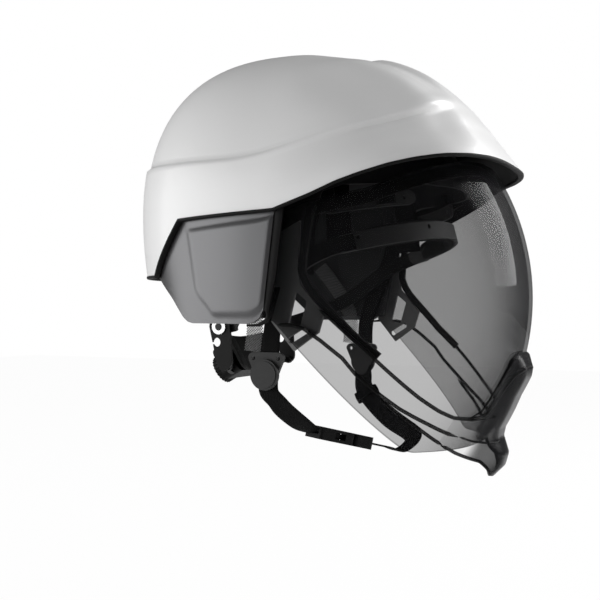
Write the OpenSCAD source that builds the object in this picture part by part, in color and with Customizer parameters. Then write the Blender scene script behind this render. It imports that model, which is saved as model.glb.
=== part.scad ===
/* [Outer shell] */
// How far the brim's root stays behind the visor's radius
brim_back = 9; // [5:0.5:11]
// Reach of the shell behind the visor axis
shell_rear = 111; // [109:1:118]
// Height of the crown above the visor axis
shell_top = 182; // [178:1:190]
// Wall of the shell
shell_wall = 3.5; // [3:0.1:4]
// Height of the brim's edge at the front
brim_z = 91; // [88:1:93]
// Height of the edge above the side panels
ear_z = 57; // [52:1:60]
// Height of the edge at the nape
nape_z = 17; // [10:1:24]
// How far the lower band stands out below the waist line
ledge_out = 2.5; // [1:0.1:4]
// Depth of the hollow between brow ridge and brim
cove_depth = 3.5; // [1:0.5:4]
// How far the brim turns out at its edge
brim_flare = 5; // [3:0.5:6]
// Height of the crest along the front of the crown
crest_height = 3.5; // [1:0.5:5]
// Height of the rubber trim under the edge
trim_height = 2; // [1.5:0.5:4]

/* [Side panels] */
// Wall of a side panel
panel_wall = 3; // [2.5:0.1:3.5]
// Lowest height of a side panel
panel_low = -16; // [-22:1:-12]
// Width of the rubber band along a panel's front edge
band_width = 6; // [4:0.5:9]
// How far the middle field of a panel stands out
field_out = 1.2; // [0.6:0.1:1.8]

/* [Inner cap] */
// Room between the head ring and the inner cap at the sides
cap_gap = 10; // [9.5:0.5:12]
// Wall of the inner cap
cap_wall = 3; // [2.5:0.1:4]
// Height of the inner cap above the visor axis
cap_top = 152; // [148:1:154]

/* [Visor] */
// Room between inner cap and visor for the arms and pivots
arm_gap = 12; // [11.5:0.5:13]
// Room between the visor and the shell at the sides
shell_gap = 10; // [9.5:0.5:12]
// Radius of the visor about its axis
visor_r = 173; // [170:0.5:175]
// Wall of the visor
visor_wall = 2.5; // [2:0.1:3]
// Squareness of the visor seen from above
visor_power = 2.8; // [2.5:0.1:3]
// Lowest height of the visor's skirt
visor_low = -101; // [-108:1:-96]
// Width of the black face seal
seal_width = 5; // [3.5:0.5:7]
// Thickness of the black face seal
seal_thick = 3; // [2:0.5:4]
// Wall of a visor arm
arm_wall = 2.8; // [2:0.1:3.2]
// How far the chin bump stands out
chin_out = 7.5; // [5:0.5:8.5]

/* [Visor pivots] */
// Radius of a pivot pin
pin_r = 6; // [5:0.5:7]
// Radius of a pivot pin's head
pin_head_r = 9.5; // [9:0.5:12]
// Radial clearance of a shaft in its hole
run_gap = 0.05; // [0.02:0.01:0.09]
// Gap between parts that pass each other
slip_gap = 0.3; // [0.2:0.05:0.5]

/* [Headgear] */
// Inner radius of the head ring at brow and nape
head_r = 80; // [76:0.5:86]
// Height of the brow band
brow_height = 12; // [10:0.5:15]
// Wall of the nylon bands
band_wall = 2.2; // [1.8:0.1:2.6]
// Thickness of the brow pad
pad_thick = 5; // [4:0.5:7]
// Height of the brow pad
pad_height = 15; // [13:1:18]
// Tilt of the nape ring
nape_tilt = 30; // [28:1:32]
// Width of the crown straps
crown_strap_w = 18; // [14:1:24]
// Height of the crown straps over the visor axis
crown_strap_top = 138; // [132:1:142]

/* [Size wheel] */
// Module of the wheel's pinion and racks
tooth_module = 1; // [0.9:0.05:1]
// Teeth on the pinion
pinion_teeth = 10; // [8:2:10]
// Radius of the knurled wheel
knob_r = 11.5; // [10:0.5:14]
// Depth of the knurled wheel
knob_depth = 9; // [8:0.5:12]
// Ribs round the knurled wheel
knob_ribs = 24; // [18:1:30]
// Height of a rack strip
rack_height = 17; // [17:0.5:19]
// Wall of a rack strip
rack_wall = 1.4; // [1.2:0.1:1.6]

/* [Harness] */
// Width of the webbing
web_w = 15; // [12:0.5:18]
// Thickness of the webbing
web_t = 1.4; // [1:0.1:1.8]
// Wall of a strap divider
divider_t = 3; // [2.5:0.1:4]
// Radius of a divider's round cap
disc_r = 10.5; // [9.5:0.5:12]
// Length of the buckle's socket half
buckle_len = 26; // [24:1:30]

/* [Hidden] */
$fn = 64;
// Half widths, each from the piece inside it
cap_half_w = head_r + cap_gap;
visor_half_w = cap_half_w + arm_gap;
shell_half_w = visor_half_w + shell_gap;
// Reach of the brim's root in front of the visor axis
shell_front = visor_r - brim_back;
white = "#f2f2f2";
grey = "#8c8c8c";
dark = "#3a3a3a";
black = "#141414";
smoke = "#9a9a9e80";

function mix(a, b, k) = a + (b - a) * k;
function part_of(a, b, v) = min(1, max(0, (v - a) / (b - a)));
function soft(a, b, v) = let(k = part_of(a, b, v)) k * k * (3 - 2 * k);
function bell(c, w, v) = exp(-pow((v - c) / w, 2));

// Plan of the shell in polar form round a point near its middle, 0 degrees to the front
plan_y = -20;
base_z = 60;
dome_power = 2.15;
// How far the crown leans back, and the tail draws in towards its edge
crown_back = 21;
tail_tuck = 0.045;
function polar(a, front, rear, half, n) =
    let(reach = cos(a) > 0 ? front : rear)
    pow(pow(abs(cos(a)) / reach, n) + pow(abs(sin(a)) / half, n), -1 / n);
function dome(z, top, m) = z > base_z
    ? pow(max(0, 1 - pow((z - base_z) / (top - base_z), m)), 1 / m)
    : 1;

// Angles where the shell's edge changes direction
edge_a = [82, 119, 134];
function edge_line(b) = lookup(b, [
    [0, brim_z], [34, brim_z], [50, mix(ear_z, brim_z, 0.78)], [66, mix(ear_z, brim_z, 0.32)],
    [edge_a[0], ear_z], [edge_a[1], ear_z - 3], [edge_a[2], nape_z], [180, nape_z]]);
function edge_z(a) =
    let(b = a > 180 ? 360 - a : a, w = 14 * (1 - part_of(60, 78, b)))
    (edge_line(b - w) + edge_line(b - w / 2) + edge_line(b) + edge_line(b + w / 2) + edge_line(b + w)) / 5;
// Waist line, which turns into the brow ridge at the front
function waist_z(a) = let(b = a > 180 ? 360 - a : a)
    b < 100 ? mix(134, 91, soft(0, 100, b)) : mix(91, 97, soft(100, 180, b));
function front_share(a) = let(b = a > 180 ? 360 - a : a) 1 - soft(28, 80, b);

// Twin crests that run forward along the crown, with a channel between them and a dip outside each
function crest(p) =
    let(x = abs(p[0]),
        run = soft(-32, -75, p[1]) * (1 - soft(-121, -137, p[1])),
        inner = mix(14, 34, part_of(-80, -125, p[1])),
        outer = mix(59, 66, part_of(-90, -125, p[1])))
    run * crest_height * (soft(inner - 5, inner + 5, x) * (1 - soft(outer - 6, outer + 5, x))
        - 0.7 * bell(outer + 17, 12, x) - 0.35 * (1 - soft(inner - 12, inner - 2, x)));
function waist_step(a, z) =
    let(w = waist_z(a), e = edge_z(a), k = part_of(w, e, z), f = front_share(a))
    z > w + 2 ? 0 : ledge_out * (1 - f) * part_of(w + 1.6, w - 1.6, z)
        - cove_depth * f * mix(0.4, 1, soft(5, 28, a > 180 ? 360 - a : a)) * pow(sin(180 * pow(k, 0.8)), 1.5);

// A point on the shell at an angle and height, set in from the outer skin
function skin(a, z, inset, detail = 1) =
    let(r = polar(a, shell_front + plan_y - inset, shell_rear - plan_y - inset,
                  shell_half_w - inset, cos(a) > 0 ? 3 : 2.5) * dome(z, shell_top - inset, dome_power),
        lean = crown_back * pow(max(0, z - base_z) / (shell_top - base_z), 2),
        tuck = 1 - tail_tuck * soft(110, 150, a > 180 ? 360 - a : a) * pow(max(0, base_z - z) / base_z, 2),
        p = [-r * tuck * sin(a), plan_y + lean - r * tuck * cos(a), z],
        v = p - [0, plan_y, base_z],
        bump = detail * (crest(p) + waist_step(a, z)),
        turn = brim_flare * front_share(a) * pow(1 - part_of(0, 22, z - edge_z(a)), 1.5),
        q = p + v / norm(v) * bump)
    [q[0] - turn * sin(a), q[1] - turn * cos(a), q[2]];

az_half = concat(
    [for (k = [0:17]) k * edge_a[0] / 18],
    [for (k = [0:5]) mix(edge_a[0], edge_a[1], k / 6)],
    [for (k = [0:2]) mix(edge_a[1], edge_a[2], k / 3)],
    [for (k = [0:8]) mix(edge_a[2], 180, k / 9)]);
function whole_turn(h) = concat(h, [180], [for (k = [len(h) - 1:-1:1]) 360 - h[k]]);
az = whole_turn(az_half);
low_rows = 5;
high_rows = 10;
function row_z(a, k, top) =
    let(w = waist_z(a), e = edge_z(a))
    k < low_rows ? mix(e, w - 1.6, pow(k / low_rows, 1.2))
    : k == low_rows ? w - 1.6
    : mix(w + 1.6, top, sin(90 * (k - low_rows - 1) / high_rows));

// A closed bowl from an outer and an inner set of rings, each with a crown point
function ring_faces(n, rows, first, turn) = [
    for (k = [0:rows - 2], i = [0:n - 1])
        let(j = (i + 1) % n, p = first + k * n)
        each turn
            ? [[p + i, p + n + i, p + n + j], [p + i, p + n + j, p + j]]
            : [[p + i, p + j, p + n + j], [p + i, p + n + j, p + n + i]]];
module bowl(outer, inner, top_out, top_in) {
    n = len(outer[0]);
    rows = len(outer);
    count = n * rows;
    points = concat([for (r = outer) each r], [for (r = inner) each r], [top_out, top_in]);
    crown = [for (i = [0:n - 1]) let(j = (i + 1) % n) each [
        [count - n + i, count - n + j, 2 * count],
        [2 * count - n + i, 2 * count + 1, 2 * count - n + j]]];
    edge = [for (i = [0:n - 1]) let(j = (i + 1) % n) each [
        [i, count + j, j], [i, count + i, count + j]]];
    polyhedron(points, concat(ring_faces(n, rows, 0, false), ring_faces(n, rows, count, true),
                              crown, edge), convexity = 8);
}

// A closed plate from a front grid and a back grid of the same size
module plate(front, back) {
    n = len(front[0]);
    rows = len(front);
    count = n * rows;
    points = concat([for (r = front) each r], [for (r = back) each r]);
    cells = [for (k = [0:rows - 2], i = [0:n - 2]) let(p = k * n + i) each [
        [p, p + 1, p + n + 1], [p, p + n + 1, p + n],
        [count + p, count + p + n + 1, count + p + 1], [count + p, count + p + n, count + p + n + 1]]];
    ends = [for (k = [0:rows - 2]) let(p = k * n, q = k * n + n - 1) each [
        [p, p + n, count + p + n], [p, count + p + n, count + p],
        [q, count + q, count + q + n], [q, count + q + n, q + n]]];
    sides = [for (i = [0:n - 2]) let(p = i, q = (rows - 1) * n + i) each [
        [p, count + p, count + p + 1], [p, count + p + 1, p + 1],
        [q, q + 1, count + q + 1], [q, count + q + 1, count + q]]];
    polyhedron(points, concat(cells, ends, sides), convexity = 6);
}

// A flat ribbon along stations of a centre, the direction across it and the direction out of it
function along(p, k) =
    let(n = len(p) - 1, s = min(n - 1, floor(k * n)), t = k * n - s,
        a = p[max(0, s - 1)], b = p[s], c = p[s + 1], d = p[min(n, s + 2)])
    0.5 * ((2 * b) + (c - a) * t + (2 * a - 5 * b + 4 * c - d) * t * t
        + (3 * b - a - 3 * c + d) * t * t * t);
function unit(v) = v / norm(v);
module ribbon(path, across, width, thick, steps) {
    stations = [for (k = [0:steps])
        let(t = k / steps, c = along(path, t), w = unit(along(across, t)),
            g = unit(along(path, min(1, t + 0.02)) - along(path, max(0, t - 0.02))),
            u = unit(cross(g, w)), v = unit(cross(u, g)))
        [c, v * width / 2, u * thick / 2]];
    plate([for (s = stations) [s[0] - s[1] + s[2], s[0] + s[1] + s[2]]],
          [for (s = stations) [s[0] - s[1] - s[2], s[0] + s[1] - s[2]]]);
}

// Shell

module outer_shell() {
    rows = low_rows + high_rows;
    color(white)
    bowl([for (k = [0:rows]) [for (a = az) skin(a, row_z(a, k, shell_top), 0)]],
         [for (k = [0:rows]) [for (a = az) skin(a, row_z(a, k, shell_top - shell_wall), shell_wall)]],
         skin(0, shell_top, 0, 0), skin(0, shell_top - shell_wall, shell_wall, 0));
}

module rim_trim() {
    n = len(az);
    lip = 0.6;
    gap = [0, 0, 2 * seat];
    drop = [0, 0, trim_height];
    ring = [for (a = az)
        let(o = skin(a, edge_z(a), 0), i = skin(a, edge_z(a), shell_wall), w = unit(o - i) * lip)
        [o + w - gap, i - w * 0.25 - gap, i - w * 0.25 - drop, o + w - drop]];
    faces = [for (i = [0:n - 1], k = [0:3])
        let(j = (i + 1) % n, m = (k + 1) % 4)
        each [[4 * i + k, 4 * j + k, 4 * j + m], [4 * i + k, 4 * j + m, 4 * i + m]]];
    color(black)
    polyhedron([for (s = ring) each s], faces, convexity = 8);
}

// Side panels, tucked up inside the shell

panel_set = shell_wall + slip_gap;
panel_top_tuck = 12;
function panel_front_a(z) = mix(86.5, edge_a[0], part_of(-10, ear_z, z));
function panel_base(u) = lookup(u, [
    [0, panel_low + 9], [0.03, panel_low + 3.5], [0.08, panel_low + 0.6], [0.13, panel_low],
    [0.58, panel_low], [0.63, panel_low + 1], [0.68, panel_low + 4], [0.81, panel_low + 17],
    [1, nape_z - 1]]);
function panel_field(u, v) =
    let(b = field_rear(v))
    soft(0.03, 0.08, u) * (1 - soft(b - 0.02, b + 0.02, u)) * soft(0.1, 0.16, v) * (1 - soft(0.66, 0.7, v));
function field_rear(v) = mix(0.56, 0.76, v);
function panel_u(v) = let(b = field_rear(v))
    [0, 0.03, 0.08, 0.13, 0.22, 0.32, 0.42, b - 0.07, b - 0.02, b + 0.02,
     mix(b, 1, 0.25), mix(b, 1, 0.5), mix(b, 1, 0.75), 1];
panel_v = [0, 0.1, 0.16, 0.3, 0.45, 0.6, 0.66, 0.7, 0.75, 0.85, 1];
function panel_point(u, v, set) =
    let(z0 = panel_base(u), a0 = mix(panel_front_a(20), edge_a[2] + 2, u),
        z = mix(z0, edge_z(a0) + panel_top_tuck * (1 - 0.5 * u), v),
        a = mix(panel_front_a(z), edge_a[2] + 2, u))
    skin(a, z, set - field_out * panel_field(u, v));
module side_panel() {
    color(grey) {
        plate([for (v = panel_v) [for (u = panel_u(v)) panel_point(u, v, panel_set)]],
              [for (v = panel_v) [for (u = panel_u(v)) panel_point(u, v, panel_set + panel_wall)]]);
    }
}
module side_panel_right() side_panel();
module side_panel_left() mirror([1, 0, 0]) side_panel();

// Rows of the band: angle and height of its inner edge, angle and height of its outer edge
function band_rows() =
    let(wide = band_width / shell_half_w * 57.3, shy = slip_gap, near = 0.15, a0 = panel_front_a(20))
    concat(
        [for (u = [0.16, 0.12, 0.08, 0.05, 0.03, 0.015])
            let(a = mix(a0, edge_a[2] + 2, u), z = panel_base(u))
            [a - 6 * near * (0.16 - u), z - shy, a - wide * 0.4 * (1 - u / 0.16),
             z - shy - mix(2.2, 1.2, u / 0.16)]],
        [for (k = [0:11])
            let(z = mix(panel_low + 10, ear_z + 8, k / 11), a = panel_front_a(z),
                w = mix(0.62, 1, part_of(0, 3, k)) * wide)
            [a - near, z, a - w, z - 1.6 * (1 - part_of(0, 2, k))]]);
module panel_seal() {
    rows = band_rows();
    face = panel_set + panel_wall;
    color(black)
    plate([for (r = rows) [skin(r[2], r[3], panel_set), skin(r[0], r[1], panel_set)]],
          [for (r = rows) [skin(r[2], r[3], face), skin(r[0], r[1], face)]]);
}
module panel_seal_right() panel_seal();
module panel_seal_left() mirror([1, 0, 0]) panel_seal();

// Inner cap, which the headgear hangs in

cap_front = 112;
cap_rear = 106;
cap_az = whole_turn([0, 12, 24, 36, 48, 58, 66, 73, 80, 88, 97, 106, 115, 126, 139, 152, 166]);
function cap_edge(a) = let(b = a > 180 ? 360 - a : a) lookup(b, [
    [0, 76], [58, 74], [66, 70], [73, 40], [80, panel_low + 2], [115, panel_low + 2], [126, 12],
    [180, nape_z + 6]]);
function cap_skin(a, z, inset) =
    let(r = polar(a, cap_front - inset, cap_rear - inset, cap_half_w - inset, 2.4)
            * dome(z, cap_top - inset, 2))
    [-r * sin(a), plan_y - r * cos(a), z];
cap_rows = 8;
function cap_z(a, k, top) = mix(cap_edge(a), top, sin(90 * k / cap_rows));
function cap_grid(inset) = [for (k = [0:cap_rows - 1]) [
    for (a = cap_az) cap_skin(a, cap_z(a, k, cap_top - inset), inset)]];
module inner_cap() {
    color(dark)
    bowl(cap_grid(0), cap_grid(cap_wall), cap_skin(0, cap_top, 0),
         cap_skin(0, cap_top - cap_wall, cap_wall));
}

// Spacers between cap and shell, behind the visor's sweep
spacers = [[180, 50, 9, shell_wall], [124, 24, 7, panel_set + panel_wall],
    [236, 24, 7, panel_set + panel_wall]];
spacer_play = 0.45;
module cap_spacers() {
    color(dark)
    for (s = spacers)
        let(p = cap_skin(s[0], s[1], 0), turn = s[0] > 180 ? 2 : s[0] < 180 ? -2 : 0,
            q = skin(s[0] + turn, s[1], s[3]), v = q - p)
        translate(p + unit(v) * spacer_play)
        rotate([0, 90, atan2(v[1], v[0])])
        cylinder(r = s[2], h = norm(v) - 2 * spacer_play);
}

// Visor, a shell of revolution about the pivot axis trimmed to its side outline

profile_steps = 22;
function visor_side(inset) = [for (k = [-profile_steps:profile_steps])
    let(t = 90 * k / profile_steps, s = t < 0 ? -1 : 1)
    [(visor_r - inset) * pow(cos(t), 2 / visor_power),
     (visor_half_w - inset) * s * pow(abs(sin(t)), 2 / visor_power)]];
function reversed(p) = [for (k = [len(p) - 1:-1:0]) p[k]];
module visor_band(inset, thick) {
    rotate([0, 90, 0])
        rotate_extrude($fn = 96)
        polygon(concat(visor_side(inset), reversed(visor_side(inset + thick))));
}
module side_cut(x0, x1) {
    translate([x0, 0, 0])
        rotate([90, 0, 90])
        linear_extrude(x1 - x0)
        children();
}
function arc(c, r, a0, a1, n = 8) = [for (k = [0:n]) let(a = mix(a0, a1, k / n)) c + r * [cos(a), sin(a)]];
function strip(p, w) =
    let(n = len(p) - 1,
        side = [for (k = [0:n]) let(g = p[min(n, k + 1)] - p[max(0, k - 1)]) [-g[1], g[0]] / norm(g) * w / 2])
    concat([for (k = [0:n]) p[k] + side[k]], [for (k = [n:-1:0]) p[k] - side[k]]);

visor_back = -14;
front_far = -visor_r - 30;
visor_top = [[visor_back, 47], [-50, 62], [-91, 70], [-138, 88], [front_far, 113]];
skirt_top = [-30, panel_low];
skirt_low = [-107, visor_low];
visor_outline = concat(
    visor_top,
    [[front_far, visor_low]],
    arc(skirt_low + [-8, 10], 10, -90, -42, 5),
    [skirt_top, [visor_back, skirt_top[1] + 7]]);
module visor() {
    color(smoke)
    intersection() {
        visor_band(0, visor_wall);
        side_cut(-visor_half_w - 5, visor_half_w + 5) polygon(visor_outline);
    }
}

seal_path = concat(
    [[-54, 60], [-51, 40], [-48.5, 18]],
    [for (k = [1:4]) mix([-48.5, 18], [-61, -2], k / 5) + [sin(36 * k) * 2, 0]],
    [[-61, -2], [-82, -24], [-98, -38]]);
seat = 0.02;
module face_seal() {
    color(black)
    for (side = [0, 1])
        mirror([side, 0, 0])
        intersection() {
            visor_band(visor_wall + seat, seal_thick);
            side_cut(-visor_half_w - 5, 0) polygon(strip(seal_path, seal_width));
        }
}

top_band_h = 9;
function top_line(drop) = [for (y = [-58, -91, -138, front_far]) [y, lookup(y, visor_top) - drop]];
module visor_top_band() {
    color(black)
    intersection() {
        visor_band(visor_wall + seat, 1.5);
        side_cut(-visor_half_w - 5, visor_half_w + 5)
            polygon(concat(top_line(1), reversed(top_line(1 + top_band_h))));
    }
}

// Arms, dark plates inside the visor that carry it on the pivots
arm_set = visor_wall + slip_gap;
hub_r = 15;
module arm_outline() {
    difference() {
        union() {
            circle(hub_r);
            polygon([[0, hub_r - 1], [-16, 34], [-46.5, 50], [-46, 18], [-48, 8], [-55, 0], [-64, -10],
                     [-60, -23], [-43, -35], [-27, -16], [-34, 7], [-12, 6]]);
        }
        polygon([[-44.5, 4], [-52.5, -2.5], [-47.5, -20], [-39, -18]]);
        for (k = [0:6])
            translate(mix([-41, -28], [-51, -22], k / 6)) circle(2.2);
    }
}
module visor_arm() {
    color(dark)
    difference() {
        intersection() {
            visor_band(arm_set, arm_wall);
            side_cut(-visor_half_w - 5, 0) arm_outline();
        }
        translate([-visor_half_w - 5, 0, 0])
            rotate([0, 90, 0])
            cylinder(r = pin_r + run_gap, h = 30);
    }
}
module visor_arm_right() visor_arm();
module visor_arm_left() mirror([1, 0, 0]) visor_arm();

// Clear beads that run from the seal and from the skirt's top to the chin guard
guard_half = 58;
bead_path = [[-62, -8], [-70, -14], [-82, -25], [-93, -35], [-109, -51], [-122, -64], [-132, -73],
    [-139, -78], [-146, -79.6], [-162, -80]];
low_bead_path = [[-33, -18], [-42, -18], [-51, -20], [-63, -28], [-77, -39], [-85, -49], [-97, -60],
    [-110, -71], [-125, -81.5], [-140, -93]];
module visor_beads() {
    color(smoke)
    for (side = [0, 1])
        mirror([side, 0, 0])
        intersection() {
            visor_band(-2, 2 - seat);
            side_cut(-visor_half_w - 5, -guard_half - 1) {
                polygon(strip(bead_path, 3.5));
                polygon(strip(low_bead_path, 3));
            }
        }
}

// Chin guard with its bump and beak, outside the visor
function visor_radius(x) = visor_r * pow(1 - pow(abs(x) / visor_half_w, visor_power), 1 / visor_power);
guard_wall = 2.2;
beak_out = 16;
function guard_top(x) = lookup(abs(x), [[0, -38], [13, -38], [24, -42], [34, -60], [40, -75], [48, -79]]);
function guard_low(x) = lookup(abs(x), [[0, -123], [9, -121.5], [22, -111], [44, -102], [guard_half, -96]]);
// How far the guard stands out at an angle under the pivot axis: bump, straight front, beak
function guard_out(x, t) =
    chin_out * (1 - soft(9, 30, abs(x)))
        * lookup(t, [[12.4, 0], [13.5, 0.4], [15.4, 0.9], [17.2, 1], [22, 0.72], [31.4, 0.72], [40, 0.5]])
    + beak_out * (1 - soft(3, 44, abs(x)))
        * lookup(t, [[30, 0], [32, 0.15], [34.2, 0.8], [36.5, 1], [41, 0.94]]);
function guard_angle(x, z, r, t, n = 5) = n == 0 ? t
    : guard_angle(x, z, r, asin(-z / (r + guard_out(x, t))), n - 1);
function guard_point(x, v, out) =
    let(r = visor_radius(x) + 3 * seat + out,
        t = mix(guard_angle(x, guard_top(x), r, 12), guard_angle(x, guard_low(x), r, 40), v),
        q = r + guard_out(x, t) * (out > 0 ? 1 : part_of(0, 0.06, v)))
    [x, -q * cos(t), -q * sin(t)];
guard_x = [for (k = [-14:14]) guard_half * sin(90 * k / 14) * 0.35 + guard_half * k / 14 * 0.65];
guard_v = [0, 0.05, 0.1, 0.18, 0.3, 0.45, 0.6, 0.7, 0.77, 0.84, 0.92, 1];
module chin_guard() {
    color(smoke)
    plate([for (v = guard_v) [for (x = guard_x) guard_point(x, v, guard_wall)]],
          [for (v = guard_v) [for (x = guard_x) guard_point(x, v, 0)]]);
}

// Pivots: head outside the arm, shaft through arm, washer and bush

arm_out = visor_half_w - arm_set;
arm_in = arm_out - arm_wall;
washer_t = 1;
washer_in = arm_in - washer_t - 0.2;
module pivot_pin() {
    color(dark)
    rotate([0, -90, 0]) {
        translate([0, 0, arm_out + slip_gap]) cylinder(r = pin_head_r, h = 2.6);
        translate([0, 0, cap_half_w + 0.3]) cylinder(r = pin_r, h = arm_out - cap_half_w + 1);
    }
}
module pivot_pin_right() pivot_pin();
module pivot_pin_left() mirror([1, 0, 0]) pivot_pin();
module tube(r0, r1, z0, z1) {
    translate([0, 0, z0])
    difference() {
        cylinder(r = r1, h = z1 - z0);
        translate([0, 0, -1]) cylinder(r = r0, h = z1 - z0 + 2);
    }
}
module pivot_washer() {
    color("#b0b0b0")
    rotate([0, -90, 0]) tube(pin_r + 0.1, 11, washer_in, washer_in + washer_t);
}
module pivot_washer_right() pivot_washer();
module pivot_washer_left() mirror([1, 0, 0]) pivot_washer();
module pivot_bushes() {
    color(dark)
    for (side = [0, 1])
        mirror([side, 0, 0])
        rotate([0, -90, 0])
        tube(pin_r + run_gap, 12, cap_half_w + 0.25, washer_in - 0.1);
}

// Head ring: a brow band and rails at the front, strips along the sides

brow_y = -40;
brow_at = [0, brow_y, 28];
brow_tilt = 14;
rail_at = [0, brow_y, 57];
rail_tilt = 9;
rail_height = 10;
module ring_part(r, wall, z0, z1, a0, a1) {
    rotate([0, 0, a0])
        rotate_extrude(angle = a1 - a0, $fn = 128)
        translate([r, z0])
        square([wall, z1 - z0]);
}
// Cylinder that points out from the ring's axis
module radial(a, r, len, rad, z = 0) {
    rotate([0, 0, a])
        translate([r, 0, z])
        rotate([0, 90, 0])
        cylinder(r = rad, h = len);
}
// Ring part with round ends
module ring_tab(r, wall, low, high, a0, a1) {
    shy = 0.1;
    union() {
        ring_part(r, wall, low, high, a0, a1);
        for (a = [a0, a1])
            radial(a, r + shy, wall - 2 * shy, (high - low) / 2 - 3 * shy, (low + high) / 2);
    }
}
module brow_band() {
    span = 70;
    color(dark)
    translate(brow_at) rotate([-brow_tilt, 0, 0])
    difference() {
        ring_tab(head_r, band_wall, -brow_height / 2, brow_height / 2, -90 - span, -90 + span);
        for (a = [-61, -22, 22, 61])
            radial(-90 + a, head_r - 2, band_wall + 4, 1.6, 2.5);
    }
}
module brow_pad() {
    span = 58;
    color("#202020")
    translate(brow_at) rotate([-brow_tilt, 0, 0])
    union() {
        ring_part(head_r - pad_thick - slip_gap, pad_thick, -pad_height / 2 + 1, pad_height / 2 + 1,
                  -90 - span, -90 + span);
        for (side = [-1, 1])
            radial(-90 + side * span, head_r - pad_thick - 2 * slip_gap, pad_thick, pad_height / 2, 1);
    }
}
module head_rail() {
    color(dark)
    translate(rail_at) rotate([-rail_tilt, 0, 0])
    difference() {
        ring_tab(head_r, band_wall, -rail_height / 2, rail_height / 2, -90 - 76, -90 - 36);
        for (a = [39, 70])
            radial(-90 - a, head_r - 2, band_wall + 4, 1.6);
    }
}
module head_rail_right() head_rail();
module head_rail_left() mirror([1, 0, 0]) head_rail();

strip_x = head_r - 1.4;
// Rivet of the nape hangers: distance from the middle, then place along Y and Z
hang_x = head_r - 31;
hang = [40.5, -20.8];
// Point over the brow band at an angle, a distance outside the ring and a height along it
function on_brow(a, out, z) = let(r = head_r + out, y = -r * cos(a))
    brow_at + [-r * sin(a), y * cos(brow_tilt) + z * sin(brow_tilt), z * cos(brow_tilt) - y * sin(brow_tilt)];
module head_strip() {
    path = [on_brow(63.3, 3.84, -0.63), on_brow(75.14, 3.7, -0.71), [-strip_x - 1.6, -40, 23],
            [-strip_x, -12, 3], [-strip_x + 4, 7, -7], [-strip_x + 13.5, 19, -13], [-hang_x - 8, 25.5, -16.5],
            [-hang_x - 1, 29.3, -18.5], [-hang_x, 32, -19.2], [-hang_x, hang[0] - 1.5, hang[1]]];
    color(dark)
    difference() {
        union() {
            ribbon(path, [for (p = path) [0, 0.45, 1]], 11, band_wall, 30);
            translate([-hang_x - band_wall / 2, hang[0], hang[1]])
                rotate([0, 90, 0])
                cylinder(r = 8, h = band_wall);
        }
        translate([-hang_x - 5, hang[0], hang[1]])
            rotate([0, 90, 0])
            cylinder(r = rivet_r + run_gap, h = 10);
    }
}
module head_strip_right() head_strip();
module head_strip_left() mirror([1, 0, 0]) head_strip();

// Clips that join the rails to the inner cap
function in_rail(p) = let(d = p - rail_at)
    [d[0], d[1] * cos(rail_tilt) - d[2] * sin(rail_tilt), d[1] * sin(rail_tilt) + d[2] * cos(rail_tilt)];
clip_w = 12;
module head_clips() {
    color(dark)
    for (side = [0, 1], a = [42, 66])
        mirror([side, 0, 0])
        let(p = in_rail(cap_skin(a, 82, cap_wall + 1.3)), out = head_r + band_wall + seat)
        translate(rail_at) rotate([-rail_tilt, 0, 0]) rotate([0, 0, atan2(p[1], p[0])])
        translate([out, -clip_w / 2, -4])
        cube([max(1, norm([p[0], p[1]]) - out), clip_w, 20]);
}

// Crown straps over the head
function strap_path(x, y0, z0, y1) = [
    [-x, y0, z0], [-x * 0.93, mix(y0, y1, 0.15), mix(z0, crown_strap_top, 0.42)],
    [-x * 0.62, mix(y0, y1, 0.6), mix(z0, crown_strap_top, 0.82)], [0, y1, crown_strap_top],
    [x * 0.62, mix(y0, y1, 0.6), mix(z0, crown_strap_top, 0.82)],
    [x * 0.93, mix(y0, y1, 0.15), mix(z0, crown_strap_top, 0.42)], [x, y0, z0]];
module crown_strap_front() {
    path = strap_path(head_r - 8.5, brow_y - 24, brow_at[2] + 10, -34);
    color(black) ribbon(path, [for (p = path) [0, 1, 0]], crown_strap_w, web_t, 36);
}
module crown_strap_rear() {
    path = strap_path(head_r - 3.4, 34, 22, 10);
    color(black) ribbon(path, [for (p = path) [-p[0] * 0.005, 1, 0]], crown_strap_w, web_t, 36);
}

// Nape unit: two racks on arcs about one centre, with a pinion between them

nape_r = head_r;
nape_at = [0, 53 - nape_r * cos(nape_tilt), -47 + nape_r * sin(nape_tilt)];
pitch_r = tooth_module * pinion_teeth / 2;
tooth_pitch = PI * tooth_module;
rack_gap = 0.2;
rivet_r = 2.5;
module at_nape() translate(nape_at) rotate([-nape_tilt, 0, 0]) children();

// Slot with teeth on its upper edge, seen from behind
module rack_slot(half_len) {
    tip = pitch_r - tooth_module;
    root = pitch_r + 1.25 * tooth_module;
    count = floor(half_len / tooth_pitch) - 1;
    difference() {
        translate([-half_len, -pitch_r - 1.3 * tooth_module])
            square([2 * half_len, pitch_r * 2 + 2.55 * tooth_module]);
        for (k = [-count:count - 1])
            translate([(k + 0.5) * tooth_pitch, 0])
            polygon([[-0.95, root + 1], [-0.95, root], [-0.3, tip],
                     [0.3, tip], [0.95, root], [0.95, root + 1]] * tooth_module);
        translate([-half_len, root]) square([2 * half_len, 2]);
    }
}
rack_turn = 100;
slot_half = pitch_r + tooth_module + rack_turn * PI / 180 * pitch_r + 2;
rack_reach = 27;
module rack(layer, up) {
    r0 = nape_r + layer * (rack_wall + rack_gap);
    over = (slot_half + 4) / r0 * 180 / PI;
    color(black)
    at_nape()
    difference() {
        ring_part(r0, rack_wall, -rack_height / 2, rack_height / 2, 90 - over, 90 + rack_reach);
        mirror([0, 0, up])
            rotate([90, 0, 0])
            translate([0, 0, -nape_r - 20])
            linear_extrude(40) rack_slot(slot_half);
    }
}
module rack_right() rack(1, 0);
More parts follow.
